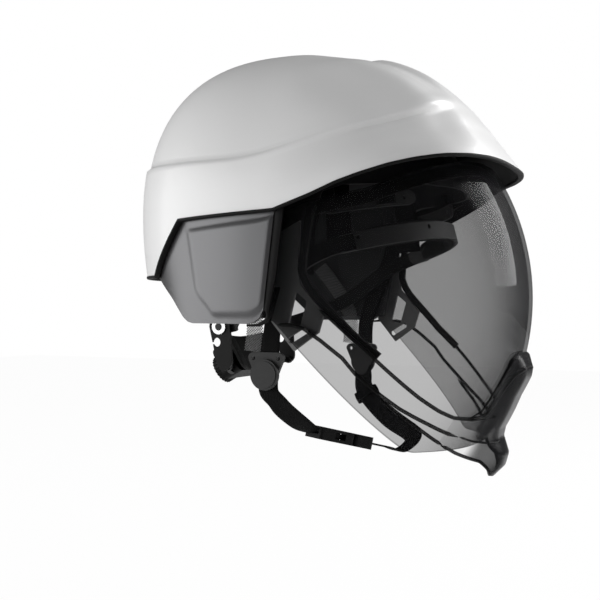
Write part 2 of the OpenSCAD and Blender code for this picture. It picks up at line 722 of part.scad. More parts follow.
module rack_left() mirror([1, 0, 0]) rack(0, 1);

pinion_at = nape_r + rack_wall + rack_gap / 2;
module at_wheel() at_nape() translate([0, pinion_at, 0]) rotate([-90, 0, 0]) children();
shaft_r = 2;
wheel_gap = 0.4;
cover_back = 8;
module pinion() {
    low = pitch_r - 1.4 * tooth_module;
    high = pitch_r + 0.92 * tooth_module;
    flank = 0.6 * tooth_module;
    tip = 0.3 * tooth_module;
    tooth = [[-0.85, low], [-flank, pitch_r], [-tip, high], [tip, high], [flank, pitch_r], [0.85, low]];
    color("#d0d0d0")
    at_wheel() {
        translate([0, 0, -rack_wall - 0.4])
        linear_extrude(2 * rack_wall + 0.8)
            union() {
                circle(pitch_r - 1.25 * tooth_module);
                for (k = [0:pinion_teeth - 1]) rotate(k * 360 / pinion_teeth) polygon(tooth);
            }
        translate([0, 0, rack_wall + 0.3]) cylinder(r = shaft_r, h = cover_back + wheel_gap + 3 - rack_wall);
    }
}
house_w = 46;
house_h = rack_height + 9;
split = rack_wall + 0.3;
module housing_block(z0, z1) {
    corner = 6;
    translate([0, 0, z0])
    linear_extrude(z1 - z0)
    polygon(concat(
        arc([house_w / 2 - corner, house_h / 2 - corner], corner, 0, 90),
        arc([-house_w / 2 + corner, house_h / 2 - corner], corner, 90, 180),
        arc([-house_w / 2 + corner, -house_h / 2 + corner], corner, 180, 270),
        arc([house_w / 2 - corner, -house_h / 2 + corner], corner, 270, 360)));
}
module rack_channel() {
    at_nape() ring_part(nape_r - 0.3, 2 * rack_wall + rack_gap + 0.6, -rack_height / 2 - 0.3,
                        rack_height / 2 + 0.3, 20, 160);
}
module nape_housing() {
    color(black)
    difference() {
        at_wheel() housing_block(-8, -0.05);
        rack_channel();
        at_wheel() translate([0, 0, -rack_wall - 1]) cylinder(r = pitch_r + tooth_module + 1, h = 20);
    }
}
module nape_cover() {
    color(black)
    difference() {
        at_wheel() {
            housing_block(0.05, cover_back - 2);
            cylinder(r = knob_r - 2, h = cover_back);
        }
        rack_channel();
        at_wheel() {
            translate([0, 0, -1]) cylinder(r = pitch_r + tooth_module + 1, h = rack_wall + 2);
            cylinder(r = shaft_r + run_gap, h = 20);
        }
    }
}
module knob() {
    color("#2a2a2a")
    at_wheel()
    difference() {
        translate([0, 0, cover_back + wheel_gap]) cylinder(r = knob_r, h = knob_depth);
        for (k = [0:knob_ribs - 1])
            rotate(k * 360 / knob_ribs)
            translate([knob_r + 0.2, 0, cover_back])
            cylinder(r = knob_r * PI / knob_ribs * 0.55, h = knob_depth + 2, $fn = 24);
        translate([0, 0, cover_back]) cylinder(r = shaft_r + seat, h = 3.8);
        translate([0, 0, cover_back + wheel_gap + knob_depth - 1.2]) cylinder(r = knob_r - 4, h = 3);
    }
}
module nape_pad() {
    color("#202020")
    at_nape() ring_part(nape_r - 11.6, 5, -house_h / 2 - 2, house_h / 2 + 2, 62, 118);
}

// Hangers that carry the nape unit from the ends of the side strips
hanger_x = hang_x + band_wall / 2 + slip_gap;
bar_r = nape_r + 1;
bar_low = -house_h / 2 + 0.4;
bar_end = 36;
module nape_hanger() {
    foot = nape_at + [-bar_r * sin(bar_end), bar_r * cos(bar_end) * cos(nape_tilt) + bar_low * sin(nape_tilt),
                      bar_low * cos(nape_tilt) - bar_r * cos(bar_end) * sin(nape_tilt)];
    color(dark)
    union() {
        hanger_plate();
        at_nape() ring_part(bar_r, 2.5, bar_low, bar_low + 3.2, 90 + asin(house_w / 2 / bar_r), 90 + bar_end);
        translate([-hanger_x - 0.5, foot[1] + 0.4, foot[2] + 0.6])
            rotate([0, 90, 0])
            cylinder(r = 2.8, h = hanger_x + foot[0]);
    }
}
module hanger_plate() {
    difference() {
        translate([-hanger_x - band_wall, 0, 0])
        rotate([90, 0, 90])
        linear_extrude(band_wall)
        polygon(concat(arc(hang, 8.7, 0, 180, 12), arc(hang + [-4, -25.5], 6.5, 180, 360, 8)));
        translate([-hanger_x - 10, hang[0], hang[1]])
            rotate([0, 90, 0])
            cylinder(r = rivet_r + run_gap, h = 20);
        translate([-hanger_x - 10, hang[0] + 2.5, hang[1] - 11.5])
            rotate([0, 90, 0])
            cylinder(r = 3.4, h = 20);
    }
}
module nape_hanger_right() nape_hanger();
module nape_hanger_left() mirror([1, 0, 0]) nape_hanger();
module hanger_washers() {
    color("#d8d8d8")
    for (side = [0, 1])
        mirror([side, 0, 0])
        translate([0, hang[0], hang[1]])
        rotate([0, -90, 0]) {
            translate([0, 0, hang_x - band_wall / 2 - 1]) cylinder(r = rivet_r, h = band_wall * 2 + 3);
            translate([0, 0, hanger_x + band_wall + 0.1]) cylinder(r = 5.6, h = 1.2);
            translate([0, 0, hang_x - band_wall / 2 - 1.2]) cylinder(r = 4.5, h = 1.1);
        }
}

// Harness

web_x = head_r + 4.6;
module web(path, across, steps, shade) {
    color(shade) ribbon(path, across, web_w - 2, web_t, steps);
}
front_path = [[-web_x + 1.8, -50, 61], [-web_x, -41, 30], [-web_x, -28, 2], [-web_x, -21, -18],
    [-web_x - 0.9, -19.7, -36.5]];
rear_path = [[-web_x + 4.2, 20, 28], [-web_x + 1.6, 7, 11], [-web_x + 0.3, -3.5, -6], [-web_x, -7, -18],
    [-web_x - 0.9, -5.6, -36.5]];
module webbing_front_right() web(front_path, [for (p = front_path) [0, 1, 0.3]], 14, "#222222");
module webbing_front_left() mirror([1, 0, 0]) webbing_front_right();
module webbing_rear_right() web(rear_path, [for (p = rear_path) [0, 1, -0.15]], 14, "#5a5a5a");
module webbing_rear_left() mirror([1, 0, 0]) webbing_rear_right();

div_x = web_x + 0.9 - divider_t / 2;
div_y = -16.5;
div_z = -50;
div_outline = concat(
    arc([div_y + 9.5, div_z + 9], 4, 0, 90, 6),
    arc([div_y - 9.5, div_z + 9], 4, 90, 180, 6),
    arc([div_y, div_z - 7], 6, 210, 330, 6));
module divider() {
    color(dark)
    translate([-div_x - divider_t, 0, 0])
    rotate([90, 0, 90])
    linear_extrude(divider_t)
    difference() {
        polygon(div_outline);
        for (s = [-1, 1])
            translate([div_y + s * 9.5, div_z + 9]) circle(1.5);
    }
}
module divider_right() divider();
module divider_left() mirror([1, 0, 0]) divider();
module divider_caps() {
    color("#4a4a4a")
    for (side = [0, 1])
        mirror([side, 0, 0])
        translate([-div_x - divider_t - 0.05, div_y, div_z - 2])
        rotate([0, -90, 0]) {
            cylinder(r = disc_r, h = 2.4);
            cylinder(r = disc_r - 1.5, h = 3);
        }
}

// Chin strap: near half, socket, prong half and far half
chin_a = [-div_x - divider_t / 2, div_y - 1.5, div_z - 14];
buckle_at = chin_a + [45, -15.5, -31.5];
buckle_turn = [0, 14, -33];
buckle_dir = [cos(buckle_turn[1]) * cos(buckle_turn[2]), cos(buckle_turn[1]) * sin(buckle_turn[2]),
              -sin(buckle_turn[1])];
buckle_side = [-sin(buckle_turn[2]), cos(buckle_turn[2]), 0];
tail_at = buckle_at + buckle_dir * (buckle_len + 9);
module chin_webbing_right() {
    path = [chin_a, chin_a + [3, -2.5, -5], chin_a + [8.5, -6, -11], chin_a + [19.5, -8, -18],
            buckle_at - buckle_dir * 13, buckle_at - buckle_dir * 6, buckle_at + buckle_dir * 1.5];
    across = [[0, 1, 0], [0, 1, 0], [0.1, 1, 0], [0.3, 1, 0], buckle_side, buckle_side, buckle_side];
    color(black) ribbon(path, across, web_w, web_t, 26);
}
far_a = [-chin_a[0], chin_a[1], chin_a[2]];
far_path = [tail_at, tail_at + buckle_dir * 14, tail_at + buckle_dir * 28, tail_at + buckle_dir * 42,
            far_a + [-41.5, -58, -42], far_a + [-23.5, -32, -32], far_a + [-9.5, -10, -18],
            far_a + [-1.5, -1, -9], far_a];
far_across = [buckle_side, buckle_side, buckle_side, buckle_side, [0.5, 0.8, 0], [0.3, 1, 0],
              [0, 1, 0], [0, 1, 0], [0, 1, 0]];
module chin_webbing_left() {
    color(black) ribbon(far_path, far_across, web_w, web_t, 34);
}
module at_buckle() translate(buckle_at) rotate(buckle_turn) children();
buckle_half_w = web_w / 2 + 3;
buckle_half_t = 4.5;
prong_half_w = 2.6;
prong_at = buckle_half_w - 4.8;
function rounded(x0, x1, y, c) = concat(
    arc([x1 - c, y - c], c, 0, 90, 4), arc([x0 + c, y - c], c, 90, 180, 4),
    arc([x0 + c, -y + c], c, 180, 270, 4), arc([x1 - c, -y + c], c, 270, 360, 4));
module slab(x0, x1, y, z0, z1, c) {
    translate([0, 0, z0]) linear_extrude(z1 - z0) polygon(rounded(x0, x1, y, c));
}
// Side release socket: mouth towards the prongs, windows in its edges, bar for the webbing
module buckle_socket() {
    color(black)
    at_buckle()
    difference() {
        slab(-4, buckle_len, buckle_half_w, -buckle_half_t, buckle_half_t, 2.5);
        translate([5, -buckle_half_w + 1.8, -2.2]) cube([buckle_len, 2 * buckle_half_w - 3.6, 4.4]);
        translate([9, -buckle_half_w - 1, -2.2]) cube([9, 2 * buckle_half_w + 2, 4.4]);
        translate([-5, -web_w / 2 - 0.5, -web_t / 2 - 0.4]) cube([8, web_w + 1, web_t + 0.8]);
    }
}
module prong() {
    tip = buckle_len - 8.5;
    translate([0, 0, -1.9])
    linear_extrude(3.8)
    polygon([[buckle_len + 1, prong_at - prong_half_w], [buckle_len - tip + 4, prong_at - prong_half_w],
             [buckle_len - tip, prong_at - 0.5], [buckle_len - tip + 1, prong_at + 1.8],
             [buckle_len - tip + 6, prong_at + 2.4], [buckle_len - tip + 8, prong_at + 0.8],
             [buckle_len + 1, prong_at + 0.8]]);
}
module buckle_prong() {
    color(black)
    at_buckle()
    difference() {
        union() {
            slab(buckle_len + 0.4, buckle_len + 17, buckle_half_w, -buckle_half_t, buckle_half_t, 2.5);
            for (side = [0, 1]) mirror([0, side, 0]) prong();
            translate([buckle_len - 12, -1.5, -1.9]) cube([13, 3, 3.8]);
        }
        translate([buckle_len + 6.5, -web_w / 2 - 0.5, -web_t / 2 - 0.4]) cube([20, web_w + 1, web_t + 0.8]);
        translate([buckle_len + 11, -web_w / 2 - 0.5, 1.6]) cube([3.4, web_w + 1, 6]);
    }
}
slider_share = 0.79;
module strap_slider() {
    c = along(far_path, slider_share);
    g = unit(along(far_path, slider_share + 0.02) - along(far_path, slider_share - 0.02));
    w = along(far_across, slider_share);
    u = unit(cross(g, w));
    v = cross(u, g);
    color("#303030")
    multmatrix([[g[0], v[0], u[0], c[0]], [g[1], v[1], u[1], c[1]], [g[2], v[2], u[2], c[2]], [0, 0, 0, 1]])
    difference() {
        slab(-4, 4, buckle_half_w - 0.5, -2.8, 2.8, 1.5);
        translate([-8, -web_w / 2 - 1, -1.8]) cube([16, web_w + 2, 3.6]);
    }
}

outer_shell();
rim_trim();
side_panel_right();
side_panel_left();
panel_seal_right();
panel_seal_left();
inner_cap();
cap_spacers();
visor();
face_seal();
visor_top_band();
visor_arm_right();
visor_arm_left();
visor_beads();
chin_guard();
pivot_pin_right();
pivot_pin_left();
pivot_washer_right();
pivot_washer_left();
pivot_bushes();
brow_band();
brow_pad();
head_rail_right();
head_rail_left();
head_strip_right();
head_strip_left();
head_clips();
crown_strap_front();
crown_strap_rear();
nape_hanger_right();
nape_hanger_left();
hanger_washers();
nape_housing();
nape_cover();
nape_pad();
rack_right();
rack_left();
pinion();
knob();
webbing_front_right();
webbing_front_left();
webbing_rear_right();
webbing_rear_left();
divider_right();
divider_left();
divider_caps();
chin_webbing_right();
chin_webbing_left();
buckle_socket();
buckle_prong();
strap_slider();
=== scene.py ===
"""Looks of a white industrial safety helmet with a smoke-tinted full-face visor."""

import logging
import math
from collections.abc import Callable
from dataclasses import dataclass
from enum import Enum
from functools import cache

import bmesh
import bpy
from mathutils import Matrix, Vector

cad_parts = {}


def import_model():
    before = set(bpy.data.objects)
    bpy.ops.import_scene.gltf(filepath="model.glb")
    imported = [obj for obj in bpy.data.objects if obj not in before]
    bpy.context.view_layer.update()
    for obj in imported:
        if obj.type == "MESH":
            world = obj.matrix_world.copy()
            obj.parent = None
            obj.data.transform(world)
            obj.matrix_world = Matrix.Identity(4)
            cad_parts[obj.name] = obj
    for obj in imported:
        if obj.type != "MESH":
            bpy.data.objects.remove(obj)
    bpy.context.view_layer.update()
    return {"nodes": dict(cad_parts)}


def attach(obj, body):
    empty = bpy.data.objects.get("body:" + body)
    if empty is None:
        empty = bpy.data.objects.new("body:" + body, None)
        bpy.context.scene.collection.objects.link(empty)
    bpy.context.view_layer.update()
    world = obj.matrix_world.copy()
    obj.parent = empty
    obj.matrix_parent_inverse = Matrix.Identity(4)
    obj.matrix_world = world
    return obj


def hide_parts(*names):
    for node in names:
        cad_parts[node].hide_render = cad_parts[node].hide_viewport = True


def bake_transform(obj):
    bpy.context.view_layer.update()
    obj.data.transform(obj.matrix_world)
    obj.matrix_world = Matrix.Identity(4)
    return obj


LOG = logging.getLogger("helmet")
MM = 0.001
PER_RADIAN = 57.3
SKIN_ROWS = (22, 40)
PANEL_CELLS = (70, 44)
Point = tuple[float, float, float]
Side = tuple[float, float]
Line = tuple[Side, ...]
Grid = list[list[Point]]
Faces = list[tuple[int, ...]]
Thing = bpy.types.Object
Tree = bpy.types.NodeTree
Node = bpy.types.Node
Socket = bpy.types.NodeSocket


class Body(Enum):
    """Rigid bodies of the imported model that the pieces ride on."""

    ROOT = "root"
    VISOR = "visor"
    NAPE = "nape"
    PRONG = "prong"


def mix(a: float, b: float, k: float) -> float:
    """Value between a and b at share k."""
    return a + (b - a) * k


def share(a: float, b: float, v: float) -> float:
    """Share of the way from a to b that v has gone, kept from 0 to 1."""
    return min(1.0, max(0.0, (v - a) / (b - a)))


def soft(a: float, b: float, v: float) -> float:
    """Share of the way from a to b with soft ends."""
    k = share(a, b, v)
    return k * k * (3 - 2 * k)


def bell(middle: float, width: float, v: float) -> float:
    """Bell curve that is 1 at its middle."""
    return math.exp(-(((v - middle) / width) ** 2))


def table(v: float, rows: Line) -> float:
    """Value at v on straight lines between rows.

    Args:
        v: Place to read at.
        rows: Pairs of place and value, by rising place.

    Returns:
        The value, held at its end values outside the rows.
    """
    if v <= rows[0][0]:
        return rows[0][1]
    for (a, p), (b, q) in zip(rows, rows[1:]):
        if v <= b:
            return mix(p, q, (v - a) / (b - a))
    return rows[-1][1]


def place(name: str, data: bpy.types.ID) -> Thing:
    """New object in the scene.

    Args:
        name: Name of the object.
        data: Its mesh, camera or light.

    Returns:
        The object.
    """
    thing = bpy.data.objects.new(name, data)
    bpy.context.scene.collection.objects.link(thing)
    return thing


def flip(row: list[Point], sign: int) -> list[Point]:
    """Points on one side of the middle or the other."""
    return [(x * sign, y, z) for x, y, z in row]


class Mesh:
    """Small helpers that turn grids of points into Blender objects."""

    @staticmethod
    def make(name: str, points: list[Point], faces: Faces, angle: float = 35) -> Thing:
        """Makes a smooth object from points in millimetres.

        Args:
            name: Name of the object.
            points: Corners in millimetres.
            faces: Corner numbers of each face.
            angle: Edges sharper than this, in degrees, stay sharp.

        Returns:
            The new object.
        """
        mesh = bpy.data.meshes.new(name)
        mesh.from_pydata([(x * MM, y * MM, z * MM) for x, y, z in points], [], faces)
        mesh.validate()
        box = bmesh.new()
        box.from_mesh(mesh)
        bmesh.ops.recalc_face_normals(box, faces=box.faces)
        box.to_mesh(mesh)
        box.free()
        thing = place(name, mesh)
        Mesh.smooth(thing, angle)
        return thing

    @staticmethod
    def smooth(thing: Thing, angle: float) -> None:
        """Shades a mesh smooth, with edges sharper than an angle in degrees left sharp."""
        thing.data.shade_smooth()
        thing.data.set_sharp_from_angle(angle=math.radians(angle))

    @staticmethod
    def sheet_faces(rows: int, cols: int, first: int = 0, closed: bool = False) -> Faces:
        """Faces of a grid of points.

        Args:
            rows: Number of rows.
            cols: Points in a row.
            first: Number of the first point.
            closed: Whether the last column meets the first.

        Returns:
            Four corner numbers for each face.
        """
        faces = []
        for k in range(rows - 1):
            a, b = first + k * cols, first + (k + 1) * cols
            for i in range(cols if closed else cols - 1):
                j = (i + 1) % cols
                faces.append((a + i, a + j, b + j, b + i))
        return faces

    @staticmethod
    def loft(name: str, rings: Grid, angle: float) -> Thing:
        """Closed form through rings of points, with a flat face at each end.

        Args:
            name: Name of the object.
            rings: Rings of points in millimetres, all of one size.
            angle: Edges sharper than this, in degrees, stay sharp.

        Returns:
            The new object.
        """
        sides = len(rings[0])
        last = (len(rings) - 1) * sides
        faces = Mesh.sheet_faces(len(rings), sides, 0, True)
        faces += [tuple(range(sides)), tuple(range(last, last + sides))]
        return Mesh.make(name, [p for ring in rings for p in ring], faces, angle)

    @staticmethod
    def plate(name: str, front: Grid, back: Grid, angle: float) -> Thing:
        """Closed plate between a front grid and a back grid of one size.

        Args:
            name: Name of the object.
            front: Points of the front face in millimetres.
            back: Points of the back face.
            angle: Edges sharper than this, in degrees, stay sharp.

        Returns:
            The new object.
        """
        rows, cols = len(front), len(front[0])
        n = rows * cols
        points = [p for row in front + back for p in row]
        faces = Mesh.sheet_faces(rows, cols) + Mesh.sheet_faces(rows, cols, n)
        for k in range(rows - 1):
            for i in (0, cols - 1):
                a, b = k * cols + i, (k + 1) * cols + i
                faces.append((a, b, n + b, n + a))
        for i in range(cols - 1):
            for k in (0, rows - 1):
                a = k * cols + i
                faces.append((a, a + 1, n + a + 1, n + a))
        return Mesh.make(name, points, faces, angle)

    @staticmethod
    def tube(name: str, path: list[Vector], radius: float, sides: int = 10) -> Thing:
        """Round bead along a path in millimetres, thinner at its ends.

        Args:
            name: Name of the object.
            path: Middle line in millimetres.
            radius: Radius in millimetres.
            sides: Number of sides.

        Returns:
            The new object.
        """
        rings: Grid = []
        last = len(path) - 1
        for k, p in enumerate(path):
            along = (path[min(last, k + 1)] - path[max(0, k - 1)]).normalized()
            side = along.cross(Vector((0, 0, 1))).normalized()
            top = side.cross(along)
            r = radius * min(1.0, 0.25 + 0.25 * min(k, last - k))
            turns = (2 * math.pi * i / sides for i in range(sides))
            rings.append([tuple(p + (side * math.cos(t) + top * math.sin(t)) * r) for t in turns])
        return Mesh.loft(name, rings, 60)


def dress(thing: Thing, body: Body, finish: "Finish", slot: str, *nodes: str) -> Thing:
    """Gives a piece its finish, its body and the nodes that it stands for.

    Args:
        thing: The piece.
        body: Body that it rides on.
        finish: Finish of its surface.
        slot: Not used.
        nodes: Nodes that it replaces.

    Returns:
        The same piece.
    """
    thing.data.materials.clear()
    thing.data.materials.append(finish.material())
    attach(thing, body.value)
    if nodes:
        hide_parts(*nodes)
    LOG.info("piece %s on %s, %d faces", thing.name, body.value, len(thing.data.polygons))
    return thing


def add(tree: Tree, kind: str, values: dict | None = None, **settings: object) -> Node:
    """New shader node.

    Args:
        tree: Tree that it goes into.
        kind: Kind of node, without the prefix that all share.
        values: Numbers or linked sockets for its inputs.
        settings: Settings of the node itself.

    Returns:
        The node.
    """
    node = tree.nodes.new("ShaderNode" + kind)
    for key, value in settings.items():
        setattr(node, key, value)
    for key, value in (values or {}).items():
        if isinstance(value, Socket):
            tree.links.new(value, node.inputs[key])
        else:
            node.inputs[key].default_value = value
    return node


def calc(tree: Tree, operation: str, *values: object) -> Socket:
    """Result of a sum on numbers or sockets."""
    return add(tree, "Math", dict(enumerate(values)), operation=operation).outputs[0]


def blend(tree: Tree, level: Socket, low: object, high: object) -> Socket:
    """Colour between two colours or sockets at a level."""
    return add(tree, "Mix", {"Factor": level, "A": low, "B": high}, data_type="RGBA").outputs["Result"]


class Groups:
    """Shader node groups that several finishes share."""

    @staticmethod
    def start(name: str, inputs: dict[str, object], outputs: tuple[str, ...]) -> tuple[Tree, Node]:
        """New group with its input node.

        Args:
            name: Name of the group.
            inputs: First value of each input: a number, or four for a colour.
            outputs: Names of the outputs: a colour first, then numbers.

        Returns:
            The group and the node that gives its inputs.
        """
        tree = bpy.data.node_groups.new(name, "ShaderNodeTree")
        for label, value in inputs.items():
            kind = "NodeSocketColor" if isinstance(value, tuple) else "NodeSocketFloat"
            tree.interface.new_socket(label, in_out="INPUT", socket_type=kind).default_value = value
        for label in outputs:
            kind = "NodeSocketColor" if label == outputs[0] else "NodeSocketFloat"
            tree.interface.new_socket(label, in_out="OUTPUT", socket_type=kind)
        return tree, tree.nodes.new("NodeGroupInput")

    @staticmethod
    def end(tree: Tree, *results: Socket) -> Tree:
        """Links the results to the group's outputs, in order.

        Args:
            tree: The group.
            results: Sockets that lead to the outputs.

        Returns:
            The same group.
        """
        out = tree.nodes.new("NodeGroupOutput")
        for socket, value in zip(out.inputs, results):
            tree.links.new(value, socket)
        return tree

    @staticmethod
    @cache
    def grain() -> Tree:
        """Fine moulding grain with slow changes of tone and gloss.

        Returns:
            The group.
        """
        first = {"Base": (0.5, 0.5, 0.5, 1), "Mottle": 0.1, "Scale": 900.0, "Roughness": 0.4, "Spread": 0.1}
        tree, into = Groups.start("moulding_grain", first, ("Colour", "Roughness", "Height"))
        given = into.outputs
        where = add(tree, "TexCoord").outputs["Object"]
        fine = add(tree, "TexNoise", {"Vector": where, "Scale": given["Scale"], "Detail": 3}).outputs["Fac"]
        slow = add(tree, "TexNoise", {"Vector": where, "Scale": 14, "Detail": 4}).outputs["Fac"]
        least = calc(tree, "SUBTRACT", 1.0, given["Mottle"])
        tone = add(tree, "MapRange", {"Value": slow, "To Min": 1.0, "To Max": least}).outputs[0]
        shade = add(tree, "VectorMath", {0: given["Base"], "Scale": tone}, operation="SCALE").outputs[0]
        rough = calc(tree, "MULTIPLY_ADD", fine, given["Spread"], given["Roughness"])
        return Groups.end(tree, shade, rough, fine)

    @staticmethod
    @cache
    def weave() -> Tree:
        """Over and under threads of webbing, from a strap's own length and width.

        Returns:
            The group.
        """
        first = {"Dark": (0.01, 0.01, 0.01, 1), "Light": (0.05, 0.05, 0.05, 1), "Threads": 1.0}
        tree, into = Groups.start("webbing_weave", first, ("Colour", "Height", "Holes"))
        given = into.outputs
        split = add(tree, "SeparateXYZ", {0: add(tree, "UVMap").outputs[0]}).outputs
        waves = [calc(tree, "SINE", calc(tree, "MULTIPLY", split[axis], given["Threads"])) for axis in "XY"]
        cross = calc(tree, "MULTIPLY", *waves)
        level = add(tree, "MapRange", {"Value": cross, "From Min": -0.8, "From Max": 0.8}).outputs[0]
        tone = blend(tree, level, given["Dark"], given["Light"])
        return Groups.end(tree, tone, level, calc(tree, "LESS_THAN", level, 0.58))


@dataclass(frozen=True)
class Finish:
    """Moulded or coated surface with its own grain.

    Attributes:
        label: Name of the material.
        base: Linear colour.
        rough: Lowest roughness.
        spread: How far the grain raises the roughness.
        mottle: How far the tone falls in places.
        grain: Size of the grain, as a scale per metre.
        depth: Height of the grain in metres.
        metal: Metallic share.
        coat: Clear coat share.
        level: Specular level.
    """

    label: str
    base: Point
    rough: float = 0.4
    spread: float = 0.12
    mottle: float = 0.08
    grain: float = 900.0
    depth: float = 0.00002
    metal: float = 0.0
    coat: float = 0.0
    level: float = 0.5

    @cache
    def material(self) -> bpy.types.Material:
        """Material of this finish, made once.

        Returns:
            The material.
        """
        made = bpy.data.materials.new(self.label)
        made.use_nodes = True
        shader = made.node_tree.nodes["Principled BSDF"]
        for name, value in (("Metallic", self.metal), ("Coat Weight", self.coat),
                            ("Coat Roughness", 0.03), ("Specular IOR Level", self.level)):
            shader.inputs[name].default_value = value
        made.diffuse_color = (*self.base, 1)
        self.shade(made.node_tree, shader)
        return made

    def bump(self, tree: Tree, shader: Node, height: Socket) -> None:
        """Leads a height through a bump to the shader's normal."""
        bump = add(tree, "Bump", {"Distance": self.depth, "Height": height})
        tree.links.new(bump.outputs[0], shader.inputs["Normal"])

    def shade(self, tree: Tree, shader: Node) -> None:
        """Adds the grain group and its links.

        Args:
            tree: Tree of the material.
            shader: Its Principled node.
        """
        given = {"Base": (*self.base, 1), "Mottle": self.mottle, "Scale": self.grain,
                 "Roughness": self.rough, "Spread": self.spread}
        grain = add(tree, "Group", given, node_tree=Groups.grain()).outputs
        tree.links.new(grain["Colour"], shader.inputs["Base Color"])
        tree.links.new(grain["Roughness"], shader.inputs["Roughness"])
        self.bump(tree, shader, grain["Height"])


@dataclass(frozen=True)
class SmokeFinish(Finish):
    """Clear tinted shield, darker where it is seen at a slant.

    Attributes:
        thin: Cover of one face seen straight on.
        slant: Cover of one face seen along the surface.
        bend: How late the cover rises with the slant.
        side: Share of the cover that is left beside the middle.
        middle: Distances from the middle where the cover is least and full, in metres.
    """

    thin: float = 0.3
    slant: float = 0.8
    bend: float = 1.6
    side: float = 1.0
    middle: Side = (0.034, 0.026)

    def shade(self, tree: Tree, shader: Node) -> None:
        """Adds the cover by slant, and by place where the sides are clearer.

        Args:
            tree: Tree of the material.
            shader: Its Principled node.
        """
        super().shade(tree, shader)
        facing = add(tree, "LayerWeight", {"Blend": 0.5}).outputs["Facing"]
        steep = calc(tree, "POWER", facing, self.bend)
        cover = add(tree, "MapRange", {"Value": steep, "To Min": self.thin, "To Max": self.slant}).outputs[0]
        if self.side < 1.0:
            where = add(tree, "TexCoord").outputs["Object"]
            width = calc(tree, "ABSOLUTE", add(tree, "SeparateXYZ", {0: where}).outputs["X"])
            ahead = add(tree, "MapRange", {"Value": width, "From Min": self.middle[0],
                                           "From Max": self.middle[1], "To Min": self.side}).outputs[0]
            cover = calc(tree, "MULTIPLY", cover, ahead)
        tree.links.new(cover, shader.inputs["Alpha"])


@dataclass(frozen=True)
class RivetFinish(Finish):
    """Bright washer round a dark rivet that runs along X.

    Attributes:
        centre: Place of the rivet along Y and Z, in metres.
        reach: Radius of the rivet in metres.
        rivet: Linear colour of the rivet.
    """

    centre: Side = (0.0, 0.0)
    reach: float = 0.0028
    rivet: Point = (0.004, 0.004, 0.004)

    def shade(self, tree: Tree, shader: Node) -> None:
        """Adds the dark rivet to the grain.

        Args:
            tree: Tree of the material.
            shader: Its Principled node.
        """
        super().shade(tree, shader)
        where = add(tree, "TexCoord").outputs["Object"]
        flat = add(tree, "VectorMath", {0: where, 1: (0, 1, 1)}, operation="MULTIPLY").outputs[0]
        away = add(tree, "VectorMath", {0: flat, 1: (0, *self.centre)}, operation="DISTANCE").outputs["Value"]
        inside = calc(tree, "LESS_THAN", away, self.reach)
        tone = blend(tree, inside, (*self.base, 1), (*self.rivet, 1))
        tree.links.new(tone, shader.inputs["Base Color"])


@dataclass(frozen=True)
class WovenFinish(Finish):
    """Webbing with over and under threads.

    Attributes:
        light: Colour of the raised threads.
        threads: Waves for each millimetre, times two pi.
        open_mesh: Whether the gaps between threads are open.
    """

    light: Point = (0.06, 0.06, 0.06)
    threads: float = 4.2
    open_mesh: bool = False

    def shade(self, tree: Tree, shader: Node) -> None:
        """Adds the weave group and its links.

        Args:
            tree: Tree of the material.
            shader: Its Principled node.
        """
        given = {"Dark": (*self.base, 1), "Light": (*self.light, 1), "Threads": self.threads}
        weave = add(tree, "Group", given, node_tree=Groups.weave()).outputs
        shader.inputs["Roughness"].default_value = self.rough
        tree.links.new(weave["Colour"], shader.inputs["Base Color"])
        self.bump(tree, shader, weave["Height"])
        if self.open_mesh:
            tree.links.new(calc(tree, "SUBTRACT", 1.0, weave["Holes"]), shader.inputs["Alpha"])


def grey(value: float) -> Point:
    """Even grey as a linear colour."""
    return value, value, value


SHELL_WHITE = Finish("shell_gloss_white", grey(0.8), 0.33, 0.06, 0.02, 260, 0.000004, coat=0.1)
LINER_BLACK = Finish("liner_black", grey(0.006), 0.6, 0.2, 0.4, 1400, 0.00004, level=0.25)
RUBBER_BLACK = Finish("rubber_black", grey(0.004), 0.55, 0.2, 0.2, 1200, level=0.2)
PANEL_GREY = Finish("panel_satin_grey", (0.105, 0.105, 0.108), 0.3, 0.06, 0.06, 1500, metal=0.75)
DIVIDER_DARK = Finish("divider_dark_plastic", grey(0.026), 0.45, 0.15, 0.12, 1300, 0.00003, level=0.3)
ARM_DARK = Finish("arm_dark_plastic", grey(0.12), 0.4, 0.15, 0.12, 1300, 0.00003)
NYLON_BLACK = Finish("nylon_black", grey(0.004), 0.4, 0.2, 0.3, 1100, 0.00004, level=0.15)
NYLON_SPECKLED = Finish("nylon_speckled", grey(0.05), 0.5, 0.25, 0.5, 700, 0.00008, level=0.4)
CAP_DARK = Finish("cap_dark_plastic", (0.012, 0.012, 0.013), 0.5, 0.2, 0.3, 1000, 0.00004, level=0.35)
HANGER_STEEL = RivetFinish("hanger_washer_steel", grey(0.62), 0.25, 0.15, 0.1, 800, 0.00001, metal=0.6,
                           centre=(0.0405, -0.0208))
STEEL = Finish("washer_bright_steel", grey(0.62), 0.25, 0.15, 0.1, 800, 0.00001, metal=1.0)
WHEEL_PALE = Finish("wheel_pale_plastic", grey(0.6), 0.35, 0.1, 0.08, 900)
SMOKE = SmokeFinish("shield_smoke", (0.012, 0.012, 0.013), 0.05, 0.03, 0.05, 300, 0.000002, level=0.04)
SMOKE_DEEP = SmokeFinish("guard_smoke", (0.01, 0.01, 0.011), 0.2, 0.05, 0.05, 300, 0.000002, level=0.04,
                         thin=0.5, slant=1.0, bend=0.8, side=0.13)
# BEAD_DARK also colours the dark line of painted shade along the guard's groove.
BEAD_DARK = SmokeFinish("bead_smoke", grey(0.008), 0.3, 0.05, 0.05, 300, 0.000002, level=0.05,
                        thin=0.8, slant=0.95)
WEB_BLACK = WovenFinish("strap_weave_black", grey(0.003), 0.7, depth=0.0003, light=grey(0.012), level=0.05)
